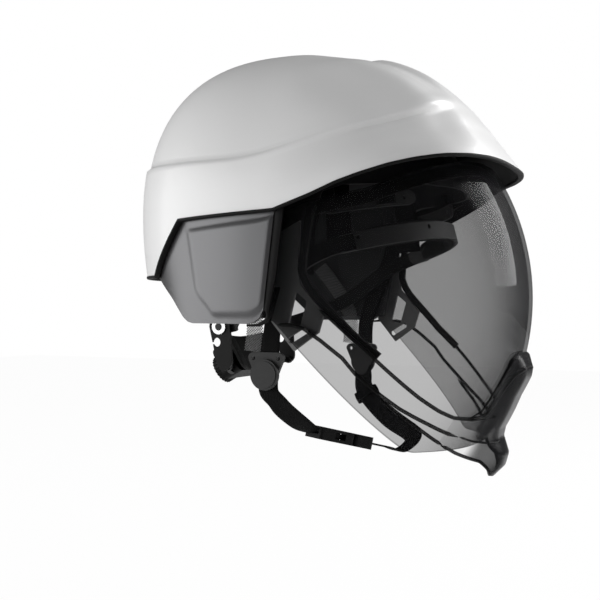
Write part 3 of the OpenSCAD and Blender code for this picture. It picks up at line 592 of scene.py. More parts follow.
WEB_MESH = WovenFinish("strap_mesh_grey", grey(0.03), 0.6, depth=0.0003, light=grey(0.14), threads=3.4,
                       open_mesh=True)
PAD_CLOTH = Finish("pad_cloth", grey(0.012), 0.8, 0.1, 0.5, 1500, 0.0002, level=0.2)


@dataclass
class Shell:
    """White outer shell with trim, liner and side panels, in polar form round a point near its middle.

    Sizes are in millimetres. Each low swell of the skin holds its height in crest heights (the ridge's
    in millimetres), its place and its width.
    """

    half_w: float = 112
    front: float = 164
    rear: float = 111
    top: float = 182
    wall: float = 3.5
    brim_z: float = 91
    ear_z: float = 57
    nape_z: float = 17
    ledge: float = 2.5
    cove: float = 3.5
    flare: float = 5
    crest_h: float = 3.5
    plan_y: float = -20
    base_z: float = 60
    power: float = 2.15
    square: Side = (3, 2.5)
    back: float = 21
    tuck: float = 0.045
    panel_wall: float = 3
    panel_low: float = -16
    band: float = 6
    panel_gap: float = 0.3
    field_out: float = 1.2
    step_half: float = 1.6
    crest_half: Side = (15, 27)
    groove: Point = (0.35, 15, 8)
    shoulder: Point = (0.5, 63, 9)
    dip: Point = (0.8, 84, 12)
    sag: Point = (0.7, -48, 24)
    inner_sag: float = 0.3
    ridge: Point = (1.3, 2.5, 4.5)
    corners: Point = (82, 119, 134)
    edge_bend: float = 14
    waist: Point = (134, 91, 97)
    trim_ring: Line = ((0.6, 0.04), (0.6, 1.2), (0.3, 1.75), (-0.5, 2.0), (-2.9, 2.0),
                       (-3.4, 1.75), (-3.65, 1.2), (-3.65, 0.04))

    @staticmethod
    def fold(a: float) -> float:
        """Angle from the front, the same on both sides."""
        return 360 - a if a > 180 else a

    def polar(self, a: float, inset: float) -> float:
        """Plan radius at an angle from the front.

        Args:
            a: Angle from the front in degrees.
            inset: Depth under the outer skin in millimetres.

        Returns:
            The radius in millimetres.
        """
        c, s = math.cos(math.radians(a)), math.sin(math.radians(a))
        reach = (self.front + self.plan_y if c > 0 else self.rear - self.plan_y) - inset
        n = self.square[0] if c > 0 else self.square[1]
        return ((abs(c) / reach) ** n + (abs(s) / (self.half_w - inset)) ** n) ** (-1 / n)

    def dome(self, z: float, top: float) -> float:
        """Share of the plan radius that is left at a height.

        Args:
            z: Height in millimetres.
            top: Height of the crown.

        Returns:
            The share, from 0 to 1.
        """
        if z <= self.base_z:
            return 1.0
        return max(0.0, 1 - ((z - self.base_z) / (top - self.base_z)) ** self.power) ** (1 / self.power)

    def edge_line(self, b: float) -> float:
        """Height of the shell's lower edge on straight lines between its corners.

        Args:
            b: Angle from the front, the same on both sides.

        Returns:
            The height in millimetres.
        """
        return table(b, (
            (0, self.brim_z), (34, self.brim_z), (50, mix(self.ear_z, self.brim_z, 0.78)),
            (66, mix(self.ear_z, self.brim_z, 0.32)), (self.corners[0], self.ear_z),
            (self.corners[1], self.ear_z - 3), (self.corners[2], self.nape_z), (180, self.nape_z)))

    def edge_z(self, a: float) -> float:
        """Height of the shell's lower edge, with soft bends in front of the ears.

        Args:
            a: Angle from the front in degrees.

        Returns:
            The height in millimetres.
        """
        b = self.fold(a)
        w = self.edge_bend * (1 - share(60, 78, b))
        return sum(self.edge_line(b + w * k / 2) for k in range(-2, 3)) / 5

    def waist_z(self, a: float) -> float:
        """Height of the waist line."""
        b, (front, side, rear) = self.fold(a), self.waist
        return mix(front, side, soft(0, 100, b)) if b < 100 else mix(side, rear, soft(100, 180, b))

    def front_share(self, a: float) -> float:
        """1 at the front, 0 from the sides back."""
        return 1 - soft(28, 80, self.fold(a))

    def crest(self, x: float, y: float, inner: bool = False) -> float:
        """Height of the crest and its shoulders, with a groove beside it and a dip outside.

        Args:
            x: Distance from the middle in millimetres.
            y: Place along Y in millimetres.
            inner: Whether it is the inner skin.

        Returns:
            The height over the plain dome.
        """
        x = abs(x)
        half = mix(*self.crest_half, share(-65, -130, y))
        deep, beside, wide = self.groove
        middle = soft(-58, -72, y) * (1 - soft(half - 3, half + 7, x)) - deep * bell(half + beside, wide, x)
        flank = self.shoulder[0] * bell(*self.shoulder[1:], x) - self.dip[0] * bell(*self.dip[1:], x)
        sag = -self.sag[0] * bell(*self.sag[1:], y) * (1 - soft(40, 80, x)) * (self.inner_sag if inner else 1)
        ahead = middle * soft(-50, -80, y) ** 0.5 + flank * soft(-32, -75, y)
        return self.crest_h * ((1 - soft(-104, -140, y)) * ahead + sag)

    def waist_step(self, a: float, z: float) -> float:
        """Step of the lower band and hollow of the brow.

        Args:
            a: Angle from the front in degrees.
            z: Height in millimetres.

        Returns:
            How far the skin stands out, less than 0 in the hollow.
        """
        w, b, (high, above, wide) = self.waist_z(a), self.fold(a), self.ridge
        ridge = high * (1 - soft(70, 95, b)) * soft(8, 24, b) * bell(w + above, wide, z)
        if z > w + 2:
            return ridge
        k = share(w, self.edge_z(a), z)
        hollow = self.cove * mix(0.1, 1.4, soft(19, 31, b)) * (1 - soft(42, 84, b))
        step = share(w + self.step_half, w - self.step_half, z)
        return (ridge + self.ledge * (1 - self.front_share(a)) * step
                - hollow * soft(0, 0.12, k) * (1 - soft(0.35, 0.92, k)))

    def skin(self, a: float, z: float, inset: float, detail: float = 1) -> Point:
        """Point of the shell at an angle and height, set in from the outer skin.

        Args:
            a: Angle from the front in degrees.
            z: Height in millimetres.
            inset: Depth under the outer skin in millimetres.
            detail: Share of the crest and steps that it takes.

        Returns:
            The point in millimetres.
        """
        s, c = math.sin(math.radians(a)), math.cos(math.radians(a))
        r = self.polar(a, inset) * self.dome(z, self.top - inset)
        lean = self.back * (max(0.0, z - self.base_z) / (self.top - self.base_z)) ** 2
        tuck = 1 - self.tuck * soft(110, 150, self.fold(a)) * (max(0.0, self.base_z - z) / self.base_z) ** 2
        p = Vector((-r * tuck * s, self.plan_y + lean - r * tuck * c, z))
        v = p - Vector((0, self.plan_y, self.base_z))
        q = p + v.normalized() * detail * (self.crest(p.x, p.y, inset > 0) + self.waist_step(a, z))
        turn = self.flare * self.front_share(a) * (1 - share(0, 22, z - self.edge_z(a))) ** 1.5
        return q.x - turn * s, q.y - turn * c, q.z

    def angles(self) -> list[float]:
        """Angles of the grid, with the corners of the edge among them.

        Returns:
            The angles in degrees, from the front round to the front.
        """
        c = self.corners
        half = [c[0] * k / 60 for k in range(60)] + [mix(c[0], c[1], k / 24) for k in range(24)]
        half += [mix(c[1], c[2], k / 12) for k in range(12)] + [mix(c[2], 180, k / 30) for k in range(30)]
        return half + [180.0] + [360 - a for a in half[:0:-1]]

    def row_z(self, a: float, k: int, low: int, high: int, top: float) -> float:
        """Height of row k at an angle.

        Args:
            a: Angle from the front in degrees.
            k: Number of the row, from the edge up.
            low: Rows under the waist line.
            high: Rows over it.
            top: Height of the crown.

        Returns:
            The height in millimetres.
        """
        w, half = self.waist_z(a), self.step_half
        if k < low:
            return mix(self.edge_z(a), w - half, (k / low) ** 1.1)
        if k < low + 4:
            return mix(w - half, w + half, (k - low) / 4)
        return mix(w + half, top, math.sin(math.pi / 2 * (k - low - 4) / high))

    def skin_mesh(self) -> Thing:
        """Outer shell with its dark inside, as one closed piece.

        Returns:
            The shell.
        """
        (low, high), az = SKIN_ROWS, self.angles()
        rows, cols = low + high + 4, len(az)
        points: list[Point] = []
        for inset in (0.0, self.wall):
            for k in range(rows):
                points += [self.skin(a, self.row_z(a, k, low, high, self.top - inset), inset) for a in az]
        n = rows * cols
        points += [self.skin(0, self.top, 0, 0), self.skin(0, self.top - self.wall, self.wall, 0)]
        faces = Mesh.sheet_faces(rows, cols, 0, True) + Mesh.sheet_faces(rows, cols, n, True)
        for i in range(cols):
            j = (i + 1) % cols
            faces += [(n - cols + i, n - cols + j, 2 * n), (2 * n - cols + i, 2 * n - cols + j, 2 * n + 1)]
            faces.append((i, j, n + j, n + i))
        shell = Mesh.make("shell_skin", points, faces, 40)
        dress(shell, Body.ROOT, SHELL_WHITE, "shell_white", "outer_shell")
        shell.data.materials.append(LINER_BLACK.material())
        for face in shell.data.polygons:
            if any(v >= n and v != 2 * n for v in face.vertices):
                face.material_index = 1
        return shell

    def trim_mesh(self) -> Thing:
        """Rubber trim under the whole edge, with a round bottom.

        Returns:
            The trim.
        """
        az, last = self.angles(), len(self.trim_ring) - 1
        cols = len(az)
        rows: Grid = [[] for _ in self.trim_ring]
        for a in az:
            o = Vector(self.skin(a, self.edge_z(a), 0))
            i = Vector(self.skin(a, self.edge_z(a), self.wall))
            w = (o - i).normalized()
            for row, (out, drop) in zip(rows, self.trim_ring):
                row.append(tuple(o + w * out - Vector((0, 0, drop))))
        faces = Mesh.sheet_faces(last + 1, cols, 0, True)
        faces += [(last * cols + i, last * cols + (i + 1) % cols, (i + 1) % cols, i) for i in range(cols)]
        trim = Mesh.make("edge_trim", [p for row in rows for p in row], faces, 50)
        return dress(trim, Body.ROOT, RUBBER_BLACK, "trim_black", "rim_trim")

    def panel_front(self, z: float) -> float:
        """Angle of a side panel's front edge at a height."""
        return mix(86.5, self.corners[0], share(-10, self.ear_z, z))

    def panel_base(self, u: float) -> float:
        """Height of a side panel's lower edge.

        Args:
            u: Share of the way to the rear.

        Returns:
            The height in millimetres.
        """
        low = self.panel_low
        return table(u, ((0, low + 9), (0.03, low + 3.5), (0.08, low + 0.6), (0.13, low), (0.58, low),
                         (0.63, low + 1), (0.68, low + 4), (0.81, low + 17), (1, self.nape_z - 1)))

    def panel_point(self, u: float, v: float, inset: float) -> Point:
        """Point of a side panel, with its raised middle field.

        Args:
            u: Share of the way to the rear.
            v: Share of the way up.
            inset: Depth under the outer skin in millimetres.

        Returns:
            The point in millimetres.
        """
        last = self.corners[2] + 2
        a0 = mix(self.panel_front(20), last, u)
        z = mix(self.panel_base(u), self.edge_z(a0) + 12 * (1 - 0.5 * u), v)
        a = mix(self.panel_front(z), last, u)
        rear = mix(0.5, 0.68, v) - 0.12 * (1 - soft(0.04, 0.3, v))
        rise = (soft(-0.01, 0.02, u) * (1 - soft(rear - 0.035, rear + 0.035, u))
                * soft(0.04, 0.1, v) * (1 - soft(0.775, 0.805, v)))
        return self.skin(a, z, inset - self.field_out * rise)

    def panel_mesh(self, side: str, sign: int) -> Thing:
        """Grey side panel.

        Args:
            side: Name of the side.
            sign: 1 or -1, for the side of the middle.

        Returns:
            The panel.
        """
        inset = self.wall + self.panel_gap

        def grid(depth: float) -> Grid:
            """Grid of one face of the panel.

            Args:
                depth: Depth under the outer skin in millimetres.

            Returns:
                Rows of points in millimetres.
            """
            n, m = PANEL_CELLS
            rows = [[self.panel_point(i / n, k / m, depth) for i in range(n + 1)] for k in range(m + 1)]
            return [flip(row, sign) for row in rows]

        panel = Mesh.plate(f"panel_{side}", grid(inset), grid(inset + self.panel_wall), 40)
        return dress(panel, Body.ROOT, PANEL_GREY, "panel_grey", f"side_panel_{side}")

    def band_rows(self) -> list[tuple[float, float, float, float]]:
        """Rows of the rubber band: angle and height of its inner edge, then of its outer edge.

        Returns:
            The rows, from the panel's lower edge up its front.
        """
        wide, first = self.band / self.half_w * PER_RADIAN, self.panel_front(20)
        rows = []
        for u in (0.16, 0.12, 0.08, 0.05, 0.03, 0.015):
            a, z = mix(first, self.corners[2] + 2, u), self.panel_base(u)
            out, drop = wide * 0.4 * (1 - u / 0.16), mix(2.2, 1.2, u / 0.16)
            rows.append((a - 0.9 * (0.16 - u), z - 0.3, a - out, z - 0.3 - drop))
        for k in range(12):
            z = mix(self.panel_low + 10, self.ear_z + 8, k / 11)
            a, w = self.panel_front(z), mix(0.62, 1, share(0, 3, k)) * wide
            rows.append((a - 0.15, z, a - w, z - 1.6 * (1 - share(0, 2, k))))
        fine = []
        for p, q in zip(rows, rows[1:]):
            fine += [tuple(mix(s, e, k / 5) for s, e in zip(p, q)) for k in range(5)]
        return fine + [rows[-1]]

    def seal_mesh(self, side: str, sign: int) -> Thing:
        """Rubber band round a panel's front edge and lower corner, with a rounded face.

        Args:
            side: Name of the side.
            sign: 1 or -1, for the side of the middle.

        Returns:
            The band.
        """
        inset = self.wall + self.panel_gap

        def grid(deep: bool) -> Grid:
            """Grid of the band's face or back.

            Args:
                deep: Whether it is the back.

            Returns:
                Rows of points in millimetres.
            """
            rows = []
            for a0, z0, a1, z1 in self.band_rows():
                row = []
                for s in range(9):
                    crown = 0.5 * math.sin(math.pi * s / 8)
                    depth = inset + self.panel_wall if deep else inset + 0.5 - crown
                    row.append(self.skin(mix(a1, a0, s / 8), mix(z1, z0, s / 8), depth))
                rows.append(flip(row, sign))
            return rows

        band = Mesh.plate(f"panel_band_{side}", grid(False), grid(True), 50)
        return dress(band, Body.ROOT, RUBBER_BLACK, "trim_black", f"panel_seal_{side}")

    def build(self) -> None:
        """Builds and dresses the shell's pieces."""
        self.skin_mesh()
        self.trim_mesh()
        for side, sign in (("right", 1), ("left", -1)):
            self.panel_mesh(side, sign)
            self.seal_mesh(side, sign)


@dataclass
class Visor:
    """Smoke-tinted shield, a shell of revolution about the pivot axis, with its guard and beads.

    Lines of the guard are heights by distance from the middle, bump and beak are shares by angle under
    the axis, and the other lines are places along Y and Z, all in millimetres and degrees.
    """

    half_w: float = 102
    r: float = 173
    wall: float = 2.5
    power: float = 2.8
    low: float = -101
    back: float = -14
    skirt_top: Side = (-30, -16)
    skirt_low: Side = (-107, -101)
    guard_half: float = 58
    guard_wall: float = 2.2
    chin_out: float = 7.5
    beak_out: float = 16
    guard_gap: float = 0.06
    bead_out: float = 0.2
    guard_top: Line = ((0, -38), (13, -38), (24, -42), (34, -60), (40, -75), (48, -79))
    guard_low: Line = ((0, -123), (9, -121.5), (22, -111), (44, -102), (58, -96))
    top_line: Line = ((-14, 47), (-50, 62), (-91, 70), (-138, 88), (-203, 113))
    bump: Line = ((12.4, 0), (13.5, 0.4), (15.4, 0.9), (17.2, 1), (22, 0.72), (31.4, 0.72),
                  (40, 0.5))
    beak: Line = ((30, 0), (32, 0.15), (34.2, 0.8), (36.5, 1), (41, 0.94))
    fold: Line = ((0, -97), (8, -100), (20, -98.5), (33, -96), (47, -91.7))
    # The dark rim along this groove line is painted shade: it stands for the shadow in the guard's groove.
    groove: Line = ((0, -47), (8, -47.5), (15, -49.6), (20, -52), (24, -60), (26, -66), (32, -77),
                    (36, -79), (48, -80.5))
    lip: Line = ((-62, -8), (-70, -14), (-82, -25), (-93, -35), (-109, -51), (-122, -64),
                 (-132, -73), (-139, -78), (-146, -79.6), (-158, -80))
    sill: Line = ((-33, -18), (-42, -18), (-51, -20), (-63, -28), (-77, -39), (-85, -49),
                  (-97, -60), (-110, -71), (-125, -81.5), (-138, -91.7))
    sole: Line = ((-99.3, -64.8), (-110.2, -75.1), (-117.4, -81.8), (-123.5, -88.8),
                  (-129.8, -96.4))

    def radius(self, x: float) -> float:
        """Radius of the shield's outer face at a distance from the middle."""
        return self.r * (1 - (abs(x) / self.half_w) ** self.power) ** (1 / self.power)

    def outline(self) -> list[Side]:
        """Side outline of the shield as y and z.

        Returns:
            The corners in millimetres.
        """
        cy, cz = self.skirt_low[0] - 8, self.skirt_low[1] + 10
        arc = [(cy + 10 * math.cos(math.radians(a)), cz + 10 * math.sin(math.radians(a)))
               for a in (mix(-90, -42, k / 8) for k in range(9))]
        return [*self.top_line, (-self.r - 30, self.low), *arc, self.skirt_top,
                (self.back, self.skirt_top[1] + 7)]

    def band(self, steps: int = 72, turns: int = 96) -> Thing:
        """Uncut band of revolution.

        Args:
            steps: Rows to each side of the middle.
            turns: Steps round the axis.

        Returns:
            The band.
        """
        grids: list[Grid] = []
        for depth in (0, self.wall):
            rows = []
            for i in range(-steps, steps + 1):
                t = math.radians(89.2) * i / steps
                x = (self.half_w - depth) * math.copysign(abs(math.sin(t)) ** (2 / self.power), t)
                r = (self.r - depth) * math.cos(t) ** (2 / self.power)
                turn = [math.radians(mix(-89, 89, j / turns)) for j in range(turns + 1)]
                rows.append([(x, -r * math.cos(p), r * math.sin(p)) for p in turn])
            grids.append(rows)
        return Mesh.plate("shield", *grids, 40)

    def cut(self, thing: Thing) -> None:
        """Cuts a piece to the side outline.

        Args:
            thing: The piece.
        """
        outline = self.outline()
        n, past = len(outline), self.half_w + 18
        points = [(x, y, z) for x in (-past, past) for y, z in outline]
        faces = [tuple(range(n)), tuple(range(n, 2 * n))]
        faces += [(i, (i + 1) % n, n + (i + 1) % n, n + i) for i in range(n)]
        tool = Mesh.make("cutter", points, faces)
        step = thing.modifiers.new("cut", "BOOLEAN")
        step.operation = "INTERSECT"
        step.solver = "EXACT"
        step.object = tool
        graph = bpy.context.evaluated_depsgraph_get()
        mesh = bpy.data.meshes.new_from_object(thing.evaluated_get(graph))
        thing.modifiers.clear()
        thing.data = mesh
        bpy.data.objects.remove(tool)
        Mesh.smooth(thing, 35)

    def shield_mesh(self) -> Thing:
        """Shield cut to its side outline.

        Returns:
            The shield.
        """
        shield = self.band()
        self.cut(shield)
        return dress(shield, Body.VISOR, SMOKE, "visor_smoke", "visor")

    def guard_out(self, x: float, t: float) -> float:
        """How far the chin guard stands out at an angle under the axis."""
        return (self.chin_out * (1 - soft(9, 30, abs(x))) * table(t, self.bump)
                + self.beak_out * (1 - soft(3, 44, abs(x))) * table(t, self.beak))

    def guard_angle(self, x: float, line: Line, r: float, t: float) -> float:
        """Angle at which the guard meets a line, searched from near it.

        Args:
            x: Distance from the middle in millimetres.
            line: Heights by distance from the middle.
            r: Radius under the guard's form.
            t: Angle where the search begins.

        Returns:
            The angle under the axis in degrees.
        """
        z = table(abs(x), line)
        for _ in range(8):
            t = math.degrees(math.asin(-z / (r + self.guard_out(x, t))))
        return t

    @staticmethod
    def turned(x: float, r: float, t: float) -> Point:
        """Point at a radius and an angle under the axis."""
        return x, -r * math.cos(math.radians(t)), -r * math.sin(math.radians(t))

    def guard_mesh(self) -> Thing:
        """Chin guard with bump, straight front and beak.

        Returns:
            The guard.
        """

        def grid(out: float) -> Grid:
            """Grid of one face of the guard.

            Args:
                out: How far it lies over the guard's inner face.

            Returns:
                Rows of points in millimetres.
            """
            rows = []
            for k in range(61):
                v = k / 60
                row = []
                for i in range(-40, 41):
                    x = self.guard_half * (0.35 * math.sin(math.pi / 2 * i / 40) + 0.65 * i / 40)
                    r = self.radius(x) + self.guard_gap + out
                    t = mix(self.guard_angle(x, self.guard_top, r, 12),
                            self.guard_angle(x, self.guard_low, r, 40), v)
                    rise = self.guard_out(x, t) * (1 if out > 0 else share(0, 0.06, v))
                    row.append(self.turned(x, r + rise, t))
                rows.append(row)
            return rows

        guard = Mesh.plate("chin_piece", grid(self.guard_wall), grid(0), 45)
        return dress(guard, Body.VISOR, SMOKE_DEEP, "visor_smoke", "chin_guard")

    def rim_mesh(self, name: str, edge: Line, start: float, radius: float, shy: float) -> Thing:
        """Round rim along a line of the guard; the one along the groove is a dark line of painted shade.

        Args:
            name: Name of the piece.
            edge: Heights by distance from the middle.
            start: Angle near the line, where its search begins.
            radius: Radius of the rim.
            shy: How far it ends before the guard's sides.

        Returns:
            The rim.
        """
        path = []
        for i in range(-44, 45):
            x = (self.guard_half - shy) * i / 44
            r = self.radius(x) + self.guard_gap + self.guard_wall / 2
            t = self.guard_angle(x, edge, r, start)
            path.append(Vector(self.turned(x, r + self.guard_out(x, t), t)))
        return Mesh.tube(name, path, radius)

    def on_face(self, y: float, z: float, sign: int) -> Vector:
        """Middle of a bead on the shield's outer face at a side place.

        Args:
            y: Place along Y in millimetres.
            z: Height in millimetres.
            sign: 1 or -1, for the side of the middle.

        Returns:
            The point in millimetres.
        """
        r = min(math.hypot(y, z), self.r - 1)
        x = self.half_w * (1 - (r / self.r) ** self.power) ** (1 / self.power)
        return Vector((sign * (x + self.bead_out), y, z))

    def bead(self, name: str, path: Line, radius: float, sign: int) -> Thing:
        """Raised bead on the shield along a side path.

        Args:
            name: Name of the piece.
            path: Places along Y and Z in millimetres.
            radius: Radius in millimetres.
            sign: 1 or -1, for the side of the middle.

        Returns:
            The bead.
        """
        points = []
        for (y0, z0), (y1, z1) in zip(path, path[1:]):
            points += [self.on_face(mix(y0, y1, k / 12), mix(z0, z1, k / 12), sign) for k in range(12)]
        points.append(self.on_face(*path[-1], sign))
        return Mesh.tube(name, points, radius)

    def build(self) -> None:
        """Builds and dresses the visor's pieces."""
        self.shield_mesh()
        self.guard_mesh()
        # The dark rim along the groove line is painted shade: it stands for the shadow in the guard's groove.
        for name, edge, start, radius, shy in (
                ("guard_brow", self.guard_top, 12, 0.6, 1.5), ("guard_groove_shade", self.groove, 20, 1.2, 10),
                ("guard_fold", self.fold, 32, 0.8, 11), ("guard_sole", self.guard_low, 40, 1.2, 1.5)):
            dress(self.rim_mesh(name, edge, start, radius, shy), Body.VISOR, BEAD_DARK, "visor_smoke")
        nodes: tuple[str, ...] = ("visor_beads",)
        lines = ("lip", self.lip, 1.3), ("sill", self.sill, 1.3), ("sole", self.sole, 1.2)
        for side, sign in (("right", -1), ("left", 1)):
            for label, path, radius in lines:
                bead = self.bead(f"{label}_{side}", path, radius, sign)
                dress(bead, Body.VISOR, BEAD_DARK, "visor_smoke", *nodes)
                nodes = ()


@dataclass
class Strap:
    """Woven strap along stations, with thicker sewn edges.

    Attributes:
        name: Name of the piece.
        path: Middle line in millimetres.
        across: Direction over the width at each station.
        width: Width in millimetres.
        thick: Thickness in millimetres.
        steps: Cross-sections along its length.
    """

    name: str
    path: list[Point]
    across: list[Point]
    width: float = 15
    thick: float = 1.4
    steps: int = 120

    @staticmethod
    def along(p: list[Vector], k: float) -> Vector:
        """Point on a smooth curve through p at share k.

        Args:
            p: Stations of the curve.
            k: Share of the way along it.

        Returns:
            The point.
        """
        n = len(p) - 1
        s = min(n - 1, int(k * n))
        t = k * n - s
        a, b, c, d = p[max(0, s - 1)], p[s], p[s + 1], p[min(n, s + 2)]
        return 0.5 * ((2 * b) + (c - a) * t + (2 * a - 5 * b + 4 * c - d) * t * t
                      + (3 * b - a - 3 * c + d) * t * t * t)

    def mesh(self) -> Thing:
        """Strap as a closed form with its length and width as UV, in millimetres.

        Returns:
            The strap.
        """
        path, across = [Vector(p) for p in self.path], [Vector(p) for p in self.across]
        section = []
        for k in range(-6, 7):
            s = k / 6
            edge = math.sqrt(max(0.0, 1 - abs(s) ** 14))
            section.append((s * self.width / 2, self.thick / 2 * edge * (1 - 0.12 * bell(0.8, 0.05, abs(s)))))
        ring = section + [(s, -h) for s, h in section[-2:0:-1]]
        rings: Grid = []
        lengths = [0.0]
        last = path[0]
        for k in range(self.steps + 1):
            t = k / self.steps
            c = self.along(path, t)
            g = (self.along(path, min(1.0, t + 0.02)) - self.along(path, max(0.0, t - 0.02))).normalized()
            u = g.cross(self.along(across, t).normalized()).normalized()
            v = u.cross(g).normalized()
            rings.append([tuple(c + v * s + u * h) for s, h in ring])
            lengths.append(lengths[-1] + (c - last).length)
            last = c
        thing = Mesh.loft(self.name, rings, 60)
        layer = thing.data.uv_layers.new(name="UVMap")
        for loop in thing.data.loops:
            k, i = divmod(loop.vertex_index, len(ring))
            layer.data[loop.index].uv = (lengths[k + 1], ring[i][0])
        return thing


@dataclass
class Harness:
    """Webbing of the four-point harness and the chin strap."""

    web_x: float = 84.6
    web_w: float = 15
    side_slim: float = 2
    end_out: float = 0.9
    buckle_at: Point = (-40.5, -33.5, -95.5)
    buckle_pitch: float = 14
    buckle_yaw: float = -33
    buckle_len: float = 26
    chin_bend: Point = (44, -76, -106)

    def build(self) -> None:
        """Builds and dresses the webbing."""
        self.side_webs()
        self.chin_webs()

    def side_webs(self) -> None:
        """Four webs from the shell down to the dividers."""
        w, end = self.web_x, self.web_x + self.end_out
        front = [(-w + 1.8, -50, 61), (-w, -41, 30), (-w, -28, 2), (-w, -21, -18), (-end, -19.7, -36.5)]
        rear = [(-w + 4.2, 20, 28), (-w + 1.6, 7, 11), (-w + 0.3, -3.5, -6), (-w, -7, -18),
                (-end, -5.6, -36.5)]
        webs = (("front", front, 0.3, WEB_BLACK, "webbing_black"),
                ("rear", rear, -0.15, WEB_MESH, "webbing_grey"))
        for side, sign in (("right", 1), ("left", -1)):
            for part, path, lean, finish, slot in webs:
                ways = [(0, 1, lean)] * len(path)
                strap = Strap(f"web_{part}_{side}", flip(path, sign), ways, self.web_w - self.side_slim)
                dress(strap.mesh(), Body.ROOT, finish, slot, f"webbing_{part}_{side}")

    def chin_webs(self) -> None:
        """Chin webs from the dividers to the buckle; the far one is baked in place and rides on no body."""
        p, y = math.radians(self.buckle_pitch), math.radians(self.buckle_yaw)
        run = Vector((math.cos(p) * math.cos(y), math.cos(p) * math.sin(y), -math.sin(p)))
        side_way = (-math.sin(y), math.cos(y), 0)
        at, bend = Vector(self.buckle_at), Vector(self.chin_bend)
        chin = Vector((-self.web_x - self.end_out, -18, -64))
        far = Vector((-chin.x, chin.y, chin.z))
        near = [chin + Vector((0.6, 0.5, 9)), chin + Vector((0.8, 0, 0)), (-80.5, -22.2, -71),
                (-73, -24.1, -77.5), (-62, -27.1, -85), (-52, -29.2, -90.6), at - run * 3, at + run * 2]
        ways = [(0, 1, 0), (0, 1, -0.1), (0, 0.95, -0.3), (0, 0.85, -0.45), (0.1, 0.8, -0.5),
                (0.2, 0.8, -0.4), (0.4, 0.8, -0.2), side_way]
        strap = Strap("chin_web_right", [tuple(q) for q in near], ways, self.web_w)
        dress(strap.mesh(), Body.ROOT, WEB_BLACK, "webbing_black", "chin_webbing_right")
        tail = at + run * (self.buckle_len + 9)
        path = [tail, tail + run * 14, tail + run * 28, tail + run * 42, bend, (62, -50, -96),
                (76, -28, -82), far + Vector((-1.5, -1, -9)), far, far + Vector((-0.6, 0.5, 9))]
        ways = [side_way] * 4 + [(0.5, 0.8, 0), (0.3, 1, 0)] + [(0, 1, 0)] * 4
        strap = Strap("chin_web_left", [tuple(q) for q in path], ways, self.web_w, steps=160)
        thing = strap.mesh()
        thing.data.materials.append(WEB_BLACK.material())
        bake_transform(thing)
        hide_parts("chin_webbing_left")


